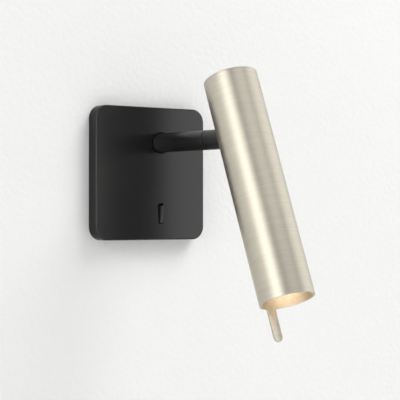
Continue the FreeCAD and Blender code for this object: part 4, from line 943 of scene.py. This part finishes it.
@dataclass
class HeadTube:
    """The nickel tube with its slot, its rounded upper edge, the grub screw's hole and the finger lever.

    Args:
        radius, wall: the tube's outer radius and thickness.
        top, rim: heights of its upper end and of its mouth.
        edge: radius of its rounded upper edge.
        slot_radius, slot_top: the slot's half width, and the height of its upper arc's middle.
        slot_under, slot_over: height of the mesh bands below and above the slot.
        lever_half, lever_length, lever_root: the lever's half width, its length and the radius at its root.
        rim_band: height of the mesh band above the mouth.
        screw_hole: the grub screw's hole.
        bevel: width of the bevel on its sharp edges.
        back_count: samples round the back strip.
    """

    radius: float = 15.6
    wall: float = 1.2
    top: float = 37.1
    rim: float = -96.7
    edge: float = 0.7
    slot_radius: float = 6.1
    slot_top: float = 21.8
    slot_under: float = 3.0
    slot_over: float = 2.5
    lever_half: float = 2.9
    lever_length: float = 18.7
    lever_root: float = 0.8
    rim_band: float = 2.0
    screw_hole: Hole = Hole.circle(u=0.0, v=-22.0, radius=GRUB_HOLE, margin=1.2)
    bevel: float = 0.16
    back_count: int = 121

    @property
    def root(self) -> float:
        """Half the lever's width where its root meets the rim."""
        return self.lever_half + self.lever_root

    @property
    def slot_start(self) -> float:
        """Height where the mesh band below the slot begins."""
        return -self.slot_radius - self.slot_under

    @property
    def slot_end(self) -> float:
        """Height where the mesh band above the slot ends."""
        return self.slot_top + self.slot_radius + self.slot_over

    def columns(self) -> np.ndarray:
        """Places across the slotted strip, closer where an outline runs upright.

        On the lever, on its root's bends and on the slot they follow the sine of even angles, because
        all three end in arcs.

        Returns:
            The places.
        """
        lever = self.lever_half * np.sin(np.linspace(-QUARTER_TURN, QUARTER_TURN, 19))
        bend = self.root - self.lever_root * np.sin(np.linspace(0, QUARTER_TURN, 6))
        start = math.asin(self.root / self.slot_radius)
        slot = self.slot_radius * np.sin(np.linspace(start, QUARTER_TURN, 11))
        tile = np.array(self.screw_hole.tile()[:2])
        return merged(lever, bend, -bend, slot, -slot, tile)

    def add_lever(self, sheet: TubeSheet, xs: np.ndarray) -> None:
        """Add the lever and the band above the mouth.

        The lever's tip is a half circle, and on each side of its root a quarter circle leads to the rim.

        Args:
            sheet: the sheet that takes the bands.
            xs: places across the front strip.
        """
        far = np.abs(xs)
        on_lever = far <= self.lever_half + NEAR
        root_low = self.rim - self.lever_root
        lever = xs[on_lever]
        tip_middle = self.rim - self.lever_length + self.lever_half
        tip = tip_middle - np.sqrt(np.clip(self.lever_half ** 2 - lever ** 2, 0, None))
        sheet.add_band(lever, tip, np.full(len(lever), root_low), rows=16)
        inset = np.clip(self.root - far, 0, None)
        bend = root_low + np.sqrt(np.clip(self.lever_root ** 2 - inset ** 2, 0, None))
        low = np.where(on_lever, root_low, np.where(far < self.root, bend, self.rim))
        band_top = self.rim + self.rim_band
        sheet.add_band(xs, low, np.full(len(xs), band_top), rows=5)
        sheet.add_back(np.linspace(self.rim, band_top, 5))

    def add_screw_band(self, sheet: TubeSheet, xs: np.ndarray) -> None:
        """Add the long plain band with the grub screw's hole.

        Args:
            sheet: the sheet that takes the band.
            xs: places across the front strip.
        """
        _, screw_v = self.screw_hole.samples()
        below = np.linspace(self.rim + self.rim_band, screw_v[0], 14)
        above = np.linspace(screw_v[-1], self.slot_start, 4)
        heights = merged(below, screw_v, above)
        points, faces = pierced(xs, heights, [self.screw_hole])
        sheet.add_front(points[:, 0], points[:, 1], faces)
        sheet.add_back(heights)

    def add_slot(self, sheet: TubeSheet, xs: np.ndarray) -> None:
        """Add the bands round the slot, whose ends are half circles.

        Args:
            sheet: the sheet that takes the bands.
            xs: places across the front strip.
        """
        arc = np.sqrt(np.clip(self.slot_radius ** 2 - xs ** 2, 0, None))
        sheet.add_band(xs, np.full(len(xs), self.slot_start), -arc, rows=6)
        sheet.add_back(np.linspace(self.slot_start, 0, 6))
        sheet.add_back(np.linspace(0, self.slot_top, 7))
        sheet.add_band(xs, self.slot_top + arc, np.full(len(xs), self.slot_end), rows=6)
        sheet.add_back(np.linspace(self.slot_top, self.slot_end, 6))

    def add_crown(self, sheet: TubeSheet, xs: np.ndarray, shoulder: float) -> None:
        """Add the band above the slot and the rounded edge, whose rows are the shoulder plus an angle.

        Args:
            sheet: the sheet that takes the bands.
            xs: places across the front strip.
            shoulder: height at which the rounded edge begins.
        """
        rows = np.concatenate([
            np.linspace(self.slot_end, shoulder, 4)[:-1],
            shoulder + np.linspace(0, QUARTER_TURN, EDGE_SAMPLES),
        ])
        sheet.add_front(np.tile(xs, len(rows)), np.repeat(rows, len(xs)), grid_faces(len(rows), len(xs)))
        sheet.add_back(rows)

    def shell(self) -> Shell:
        """The closed shell of the tube, in bands from the lever's tip up to the rounded edge.

        Above the shoulder a row's number holds the angle of the edge. There the radius shrinks by the
        edge's radius times one minus the cosine, and the height grows by it times the sine.

        Returns:
            Points and faces.
        """
        xs = self.columns()
        shoulder = self.top - self.edge
        sheet = TubeSheet(self.slot_radius, 1.0, self.back_count)
        self.add_lever(sheet, xs)
        self.add_screw_band(sheet, xs)
        self.add_slot(sheet, xs)
        self.add_crown(sheet, xs, shoulder)
        strip, across, height, faces = sheet.gathered()
        angle = np.clip(height - shoulder, 0, QUARTER_TURN)
        radius = self.radius - self.edge * (1 - np.cos(angle))
        level = np.minimum(height, shoulder) + self.edge * np.sin(angle)
        outer = sheet.skin(strip, across, radius, level)
        inner = sheet.skin(strip, across, np.full(len(strip), self.radius - self.wall), level)
        return closed_shell(outer, inner, faces)

    def build(self, nickel: bpy.types.Material) -> bpy.types.Object:
        """Make the piece and let it stand for its solid.

        Args:
            nickel: its material.

        Returns:
            The piece.
        """
        piece = make_piece("head_shell", self.shell(), HEAD, "head", self.bevel)
        piece.data.materials.append(nickel)
        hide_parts("head_tube")
        return piece


@dataclass
class ArmTube:
    """The black arm with its threaded end, its bore, the bush's seat and the stop screw's hole.

    Args:
        radius, neck_radius: outer radius of the arm and of its threaded end.
        neck_bore, bore, bush_bore: radius of the bore in the threaded end, in the arm and round the bush.
        start, front, seam: distances from the wall of the threaded end, of the shoulder and of the seam.
        bore_start, bush_start: distances from the wall where the bore and the bush's seat begin.
        chamfer: width of the chamfer at the seam.
        step: spacing of the mesh rows beside a shoulder.
        strip: half width of the strip that holds the screw's hole.
        screw_hole: the stop screw's hole.
        back_count: samples round the back strip.
    """

    radius: float = 5.8
    neck_radius: float = 5.0
    neck_bore: float = 3.0
    bore: float = 4.1
    bush_bore: float = 4.8
    start: float = 0.9
    front: float = 6.3
    bore_start: float = 8.3
    bush_start: float = 44.9
    seam: float = 53.9
    chamfer: float = 0.2
    step: float = 0.1
    strip: float = 3.0
    screw_hole: Hole = Hole.circle(u=0.0, v=41.0, radius=GRUB_HOLE, margin=1.1)
    back_count: int = 61

    @property
    def plain_start(self) -> float:
        """Station where the plain stretch of the arm begins."""
        return self.bore_start + 5 * self.step

    def rows(self) -> np.ndarray:
        """The turned profile as a table.

        Returns:
            Station, outer radius, outer height, inner radius and inner height of each row.
        """
        step, plain = self.step, self.plain_start
        last = self.bush_start - 5 * step
        bevel = self.seam - self.chamfer
        return np.array([
            (self.start, self.neck_radius, self.start, self.neck_bore, self.start),
            (self.front - step, self.neck_radius, self.front, self.neck_bore, self.front),
            (self.front + step, self.radius, self.front, self.neck_bore, self.front + 7 * step),
            (self.bore_start - step, self.radius, self.bore_start - step, self.neck_bore, self.bore_start),
            (self.bore_start + 2 * step, self.radius, self.bore_start + 2 * step, self.bore, self.bore_start),
            (plain, self.radius, plain, self.bore, plain),
            (last, self.radius, last, self.bore, last),
            (self.bush_start - step, self.radius, self.bush_start - step, self.bore, self.bush_start),
            (self.bush_start + step, self.radius, self.bush_start + step, self.bush_bore, self.bush_start),
            (bevel, self.radius, bevel, self.bush_bore, bevel - step),
            (self.seam, self.radius - self.chamfer, self.seam, self.bush_bore, self.seam),
        ])

    def shell(self) -> Shell:
        """The closed shell of the arm: each skin's radius and height follow the table's rows.

        Returns:
            Points and faces.
        """
        table = self.rows()
        screw_u, screw_v = self.screw_hole.samples()
        xs = merged(np.linspace(-self.strip, self.strip, 13), screw_u)
        stations = merged(table[:, 0], np.linspace(self.plain_start, screw_v[0], 8), screw_v)
        sheet = TubeSheet(self.strip, -1.0, self.back_count)
        points, faces = pierced(xs, stations, [self.screw_hole])
        sheet.add_front(points[:, 0], points[:, 1], faces)
        sheet.add_back(stations)
        strip, across, station, faces = sheet.gathered()
        outer_radius, outer_height, inner_radius, inner_height = (
            np.interp(station, table[:, 0], table[:, number]) for number in range(1, 5))
        # a hair wider than the strip, so that the strip's edge has an angle on the bore
        inner_radius = np.maximum(inner_radius, self.strip) + HAIR
        return closed_shell(sheet.skin(strip, across, outer_radius, outer_height),
                            sheet.skin(strip, across, inner_radius, inner_height), faces)

    def build(self, coat: bpy.types.Material) -> bpy.types.Object:
        """Make the piece and let it stand for its solid.

        Args:
            coat: its material.

        Returns:
            The piece.
        """
        piece = make_piece("arm_shell", self.shell(), ARM, "root")
        piece.data.materials.append(coat)
        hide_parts("arm_tube")
        return piece


@dataclass
class LampGlow:
    """The lens, lit from behind, and the phosphor that lights it.

    Args:
        lens_light: strength of the light that the lens throws.
        lens_seen: strength at which the camera sees it.
        ring_pitch, ring_depth: spacing and depth of its rings, in millimetres.
        ring_share: brightness of a ring's valley, as a share of its crest's.
        fade: radius where the light begins to fall off, and where it ends, in millimetres.
        rim_share: brightness at the end of that fall, as a share of the middle's.
        phosphor_light: strength of the phosphor's light.
        warm: linear colour of the light.
        lens_colour, lens_rough: the lens's linear colour and roughness.
        amber, gold: linear colours between which the phosphor wanders.
        phosphor_rough, phosphor_grain: its roughness, and how wide its grain is, in millimetres.
    """

    lens_light: float = 13.0
    lens_seen: float = 1.08
    ring_pitch: float = 0.7
    ring_depth: float = 0.15
    ring_share: float = 0.78
    fade: tuple[float, float] = (3.0, 11.0)
    rim_share: float = 0.55
    phosphor_light: float = 8.0
    warm: Colour = (1.0, 0.83, 0.72)
    lens_colour: Colour = (0.9, 0.86, 0.78)
    lens_rough: float = 0.35
    amber: Colour = (0.9, 0.6, 0.12)
    gold: Colour = (1.0, 0.75, 0.2)
    phosphor_rough: float = 0.5
    phosphor_grain: float = 0.3

    def lens(self) -> bpy.types.Material:
        """Lens with fine rings, lit from behind.

        A look straight at it is held down to a warm white, as an eye or a camera would hold it, while
        the light that it throws on the tube keeps its strength.

        Returns:
            The material.
        """
        shader = Shader("lit_lens")
        place = shader.place(HEAD, (1.0, 1.0, 1.0))
        flat = shader.node("VectorMath", {0: place, 1: (1.0, 1.0, 0.0)}, operation="MULTIPLY").outputs[0]
        far = shader.node("VectorMath", {0: flat}, operation="LENGTH").outputs["Value"]
        wave = shader.combined("DIVIDE", shader.combined("PINGPONG", far, self.ring_pitch), self.ring_pitch)
        fade = shader.span(far, 1.0, self.rim_share, *self.fade)
        shade = shader.combined("MULTIPLY", fade, shader.span(wave, self.ring_share, 1.0))
        seen = shader.node("LightPath").outputs["Is Camera Ray"]
        held = shader.span(seen, self.lens_light, self.lens_seen)
        return shader.finish({
            "Base Color": (*self.lens_colour, 1.0),
            "Roughness": self.lens_rough,
            "Normal": shader.bump(wave, self.ring_depth),
            "Emission Color": (*self.warm, 1.0),
            "Emission Strength": shader.combined("MULTIPLY", shade, held),
        })

    def phosphor(self) -> bpy.types.Material:
        """Warm silicone over the light source.

        Returns:
            The material.
        """
        shader = Shader("lit_phosphor")
        fine = shader.noise(shader.place(HEAD, (self.phosphor_grain,) * 3), detail=2.0)
        return shader.finish({
            "Base Color": shader.tint(fine, self.amber, self.gold),
            "Roughness": self.phosphor_rough,
            "Emission Color": (*self.warm, 1.0),
            "Emission Strength": self.phosphor_light,
        })


def earth_insulation() -> bpy.types.Material:
    """Green insulation with yellow stripes: noise that is long one way, cut hard at its middle.

    Returns:
        The material.
    """
    green, yellow = (0.03, 0.22, 0.03), (0.75, 0.62, 0.03)
    stripe_size = (1.1, 6.0, 1.1)
    shader = Shader("green_yellow_insulation")
    noise = shader.noise(shader.place(WALL, stripe_size), detail=0.0)
    stripes = shader.span(noise, 0.0, 1.0, start=0.49, end=0.51)
    return shader.finish({"Base Color": shader.tint(stripes, green, yellow), "Roughness": 0.45})


def direction(azimuth: float, elevation: float) -> Vector:
    """The unit vector towards a view, whose azimuth in degrees grows from the wall's front to +x."""
    turn, rise = math.radians(azimuth), math.radians(elevation)
    return Vector((math.sin(turn) * math.cos(rise), -math.cos(turn) * math.cos(rise), math.sin(rise)))


LAMP_COLOUR = (1.0, 1.0, 0.99)


@dataclass(frozen=True)
class SoftLamp:
    """A soft area lamp that faces a point from a direction.

    Args:
        name: its name.
        azimuth, elevation: where it stands, in degrees.
        far: its distance in metres.
        size: its width and height in metres.
        strength: the brightness of its face, where 1 is white.
        reach: which kind of surface answers it.
        black_only: whether only the black pieces in view answer it.
        faces: the point that it faces, in metres.
    """

    name: str
    azimuth: float
    elevation: float
    far: float
    size: tuple[float, float]
    strength: float
    reach: Reach = Reach.BOTH
    black_only: bool = False
    faces: Point = (0.0, -0.05, 0.0)

    def build(self, black_pieces: list[bpy.types.Object]) -> None:
        """Make the lamp.

        Args:
            black_pieces: the black pieces in view.
        """
        width, height = self.size
        light = bpy.data.lights.new(self.name, "AREA")
        light.shape = "RECTANGLE"
        light.size, light.size_y = width, height
        light.energy = self.strength * math.pi * width * height
        light.color = LAMP_COLOUR
        lamp = bpy.data.objects.new(self.name, light)
        bpy.context.scene.collection.objects.link(lamp)
        lamp.visible_camera = False
        lamp.visible_glossy = self.reach is not Reach.MATT
        lamp.visible_diffuse = self.reach is not Reach.GLOSS
        target = Vector(self.faces)
        place = target + self.far * direction(self.azimuth, self.elevation)
        lamp.location = place
        lamp.rotation_mode = "QUATERNION"
        lamp.rotation_quaternion = (target - place).to_track_quat("-Z", "Y")
        if self.black_only:
            self.keep_to(lamp, black_pieces)
        log.info("%s: strength %.2f", self.name, self.strength)

    def keep_to(self, lamp: bpy.types.Object, pieces: list[bpy.types.Object]) -> None:
        """Shade everything but some pieces from the lamp, as a photographer's flag does.

        Args:
            lamp: the lamp.
            pieces: the pieces that it reaches.
        """
        reached = bpy.data.collections.new(self.name + "_reaches")
        for piece in pieces:
            reached.objects.link(piece)
        lamp.light_linking.receiver_collection = reached


LAMPS = (
    SoftLamp("key", azimuth=50, elevation=54, far=3.2, size=(1.7, 1.7), strength=8.4, reach=Reach.MATT),
    SoftLamp("left_card", azimuth=-75, elevation=14, far=1.5, size=(0.95, 1.6), strength=1.7),
    SoftLamp("right_card", azimuth=66, elevation=24, far=1.4, size=(1.3, 1.2), strength=0.77),
    SoftLamp("front_card", azimuth=-2, elevation=42, far=1.6, size=(1.2, 0.7), strength=0.76),
    SoftLamp("plate_card", azimuth=55.2, elevation=0, far=0.551, size=(0.3, 0.5), strength=4.3,
             reach=Reach.GLOSS, black_only=True),
    SoftLamp("plate_strip", azimuth=0, elevation=0, far=0.022, size=(0.02, 0.16), strength=20.5,
             reach=Reach.MATT, black_only=True, faces=(-0.055, -0.008, 0.0)),
    SoftLamp("edge_card", azimuth=-75, elevation=0, far=0.7, size=(0.2, 0.6), strength=9.0,
             reach=Reach.GLOSS, black_only=True),
)


@dataclass
class Room:
    """The wall behind the light, a pale floor, the world, the lamps and the camera.

    Args:
        wall_colour, floor_colour, world_colour: linear colours.
        half_width: how far wall and floor reach to each side, and the floor to the front, in metres.
        height, floor_drop: how far the wall rises above the plate's middle and goes below it, in metres.
        wall_opening: side of the square opening behind the plate, in metres.
        mirrored_share: share of wall and floor colour that a mirror shows.
        floor_seen_share: share of the floor's colour that the camera sees.
        camera_place: where the camera stands, in metres.
        azimuth, elevation: the side that it looks from, in degrees.
        focal: its focal length in the photograph's pixels.
        photo_width: the photograph's width in pixels.
        sensor_width: its sensor's width in millimetres.
        clip: the nearest and farthest that it sees, in metres.
    """

    wall_colour: Colour = (0.91, 0.91, 0.91)
    floor_colour: Colour = (0.79, 0.79, 0.785)
    world_colour: Colour = (0.285, 0.285, 0.287)
    half_width: float = 8.0
    height: float = 6.0
    floor_drop: float = 0.5
    wall_opening: float = 0.074
    mirrored_share: float = 0.72
    floor_seen_share: float = 0.70
    camera_place: Point = (-0.51465, -0.7133, -0.02387)
    azimuth: float = -38.03
    elevation: float = -0.52
    focal: float = 1449.1
    photo_width: float = 400.0
    sensor_width: float = 36.0
    clip: tuple[float, float] = (0.01, 50.0)

    def flat(self, name: str, points: list[Point], faces: list[tuple[int, ...]],
             material: bpy.types.Material) -> None:
        """Make a flat stage piece.

        Args:
            name: the piece's name.
            points: its points, in metres.
            faces: its faces, by point numbers.
            material: its material.
        """
        mesh = bpy.data.meshes.new(name)
        mesh.from_pydata(points, [], faces)
        mesh.materials.append(material)
        piece = bpy.data.objects.new(name, mesh)
        bpy.context.scene.collection.objects.link(piece)

    def one_sided(self, name: str, colour: Colour, grain: float, depth: float,
                  seen_share: float = 1.0) -> bpy.types.Material:
        """A matt surface in front, with nothing to see from behind.

        Its full colour lights the object. A look at it, straight or in a mirror, meets a share of it.

        Args:
            name: the material's name.
            colour: its linear colour.
            grain: how wide its relief is, in millimetres.
            depth: how deep its relief is, in millimetres.
            seen_share: the share of its colour that the camera sees.

        Returns:
            The material.
        """
        shader = Shader(name)
        fine = shader.noise(shader.place(WALL, (grain, grain, grain)), detail=3.0)
        path = shader.node("LightPath")
        seen = shader.span(path.outputs["Is Camera Ray"], 1.0, seen_share)
        mirrored = shader.span(path.outputs["Is Glossy Ray"], 1.0, self.mirrored_share)
        light = shader.tint(shader.combined("MULTIPLY", seen, mirrored), (0.0, 0.0, 0.0), colour)
        surface = shader.node("BsdfDiffuse", {"Color": light, "Normal": shader.bump(fine, depth)})
        clear = shader.node("BsdfTransparent")
        back = shader.node("NewGeometry").outputs["Backfacing"]
        mix = shader.node("MixShader", {0: back, 1: surface.outputs[0], 2: clear.outputs[0]})
        shader.tree.links.new(mix.outputs[0], shader.output.inputs["Surface"])
        return shader.material

    def build_stage(self) -> None:
        """Set the wall and the floor. The wall is open behind the plate, so that light meets its back."""
        wide, high, low = self.half_width, self.height, -self.floor_drop
        gap = self.wall_opening / 2
        border = [(-wide, 0, low), (wide, 0, low), (wide, 0, high), (-wide, 0, high)]
        opening = [(-gap, 0, -gap), (gap, 0, -gap), (gap, 0, gap), (-gap, 0, gap)]
        sides = [(0, 1, 5, 4), (1, 2, 6, 5), (2, 3, 7, 6), (3, 0, 4, 7)]
        plaster = self.one_sided("plaster", self.wall_colour, grain=3.2, depth=0.32)
        self.flat("wall", border + opening, sides, plaster)
        ground = [(-wide, -wide, low), (wide, -wide, low), (wide, wide, low), (-wide, wide, low)]
        pale = self.one_sided("pale_floor", self.floor_colour, grain=40.0, depth=0.3,
                              seen_share=self.floor_seen_share)
        self.flat("floor", ground, [(0, 1, 2, 3)], pale)

    def build(self, black_pieces: list[bpy.types.Object]) -> None:
        """Set the stage, the world, the lamps and the view settings.

        Args:
            black_pieces: the pieces that alone answer plate_card, plate_strip and edge_card.
        """
        self.build_stage()
        world = bpy.data.worlds.new("soft_room")
        world.use_nodes = True
        world.node_tree.nodes["Background"].inputs["Color"].default_value = (*self.world_colour, 1.0)
        bpy.context.scene.world = world
        for lamp in LAMPS:
            lamp.build(black_pieces)
        bpy.context.scene.view_settings.view_transform = "Standard"

    def set_camera(self) -> None:
        """Put the camera where the photograph was taken."""
        data = bpy.data.cameras.new("photo_camera")
        data.sensor_width = self.sensor_width
        data.lens = self.focal * self.sensor_width / self.photo_width
        data.clip_start, data.clip_end = self.clip
        camera = bpy.data.objects.new("photo_camera", data)
        bpy.context.scene.collection.objects.link(camera)
        camera.location = self.camera_place
        camera.rotation_mode = "QUATERNION"
        camera.rotation_quaternion = (-direction(self.azimuth, self.elevation)).to_track_quat("-Z", "Y")
        bpy.context.scene.camera = camera


def dress(node: str, material: bpy.types.Material) -> None:
    """Give a carried node its only material.

    Args:
        node: the node's name.
        material: the material.
    """
    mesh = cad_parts[node].data
    mesh.materials.clear()
    mesh.materials.append(material)
    log.info("%s: %s", node, material.name)


def main() -> None:
    """Set the camera, dress every node, make the new shells and build the room."""
    room = Room()
    room.set_camera()
    made = {finish: finish.material() for finish in DRESS}
    for finish, nodes in DRESS.items():
        for node in nodes:
            dress(node, made[finish])
    glow = LampGlow()
    dress("lens", glow.lens())
    dress("led_phosphor", glow.phosphor())
    dress("earth_lead", earth_insulation())
    cover = CoverPlate().build(made[BLACK_COAT])
    arm = ArmTube().build(made[ARM_COAT])
    HeadTube().build(made[NICKEL])
    room.build([cover, arm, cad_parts["swivel_stub"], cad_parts["rocker"]])


if __name__ == "__main__":
    main()
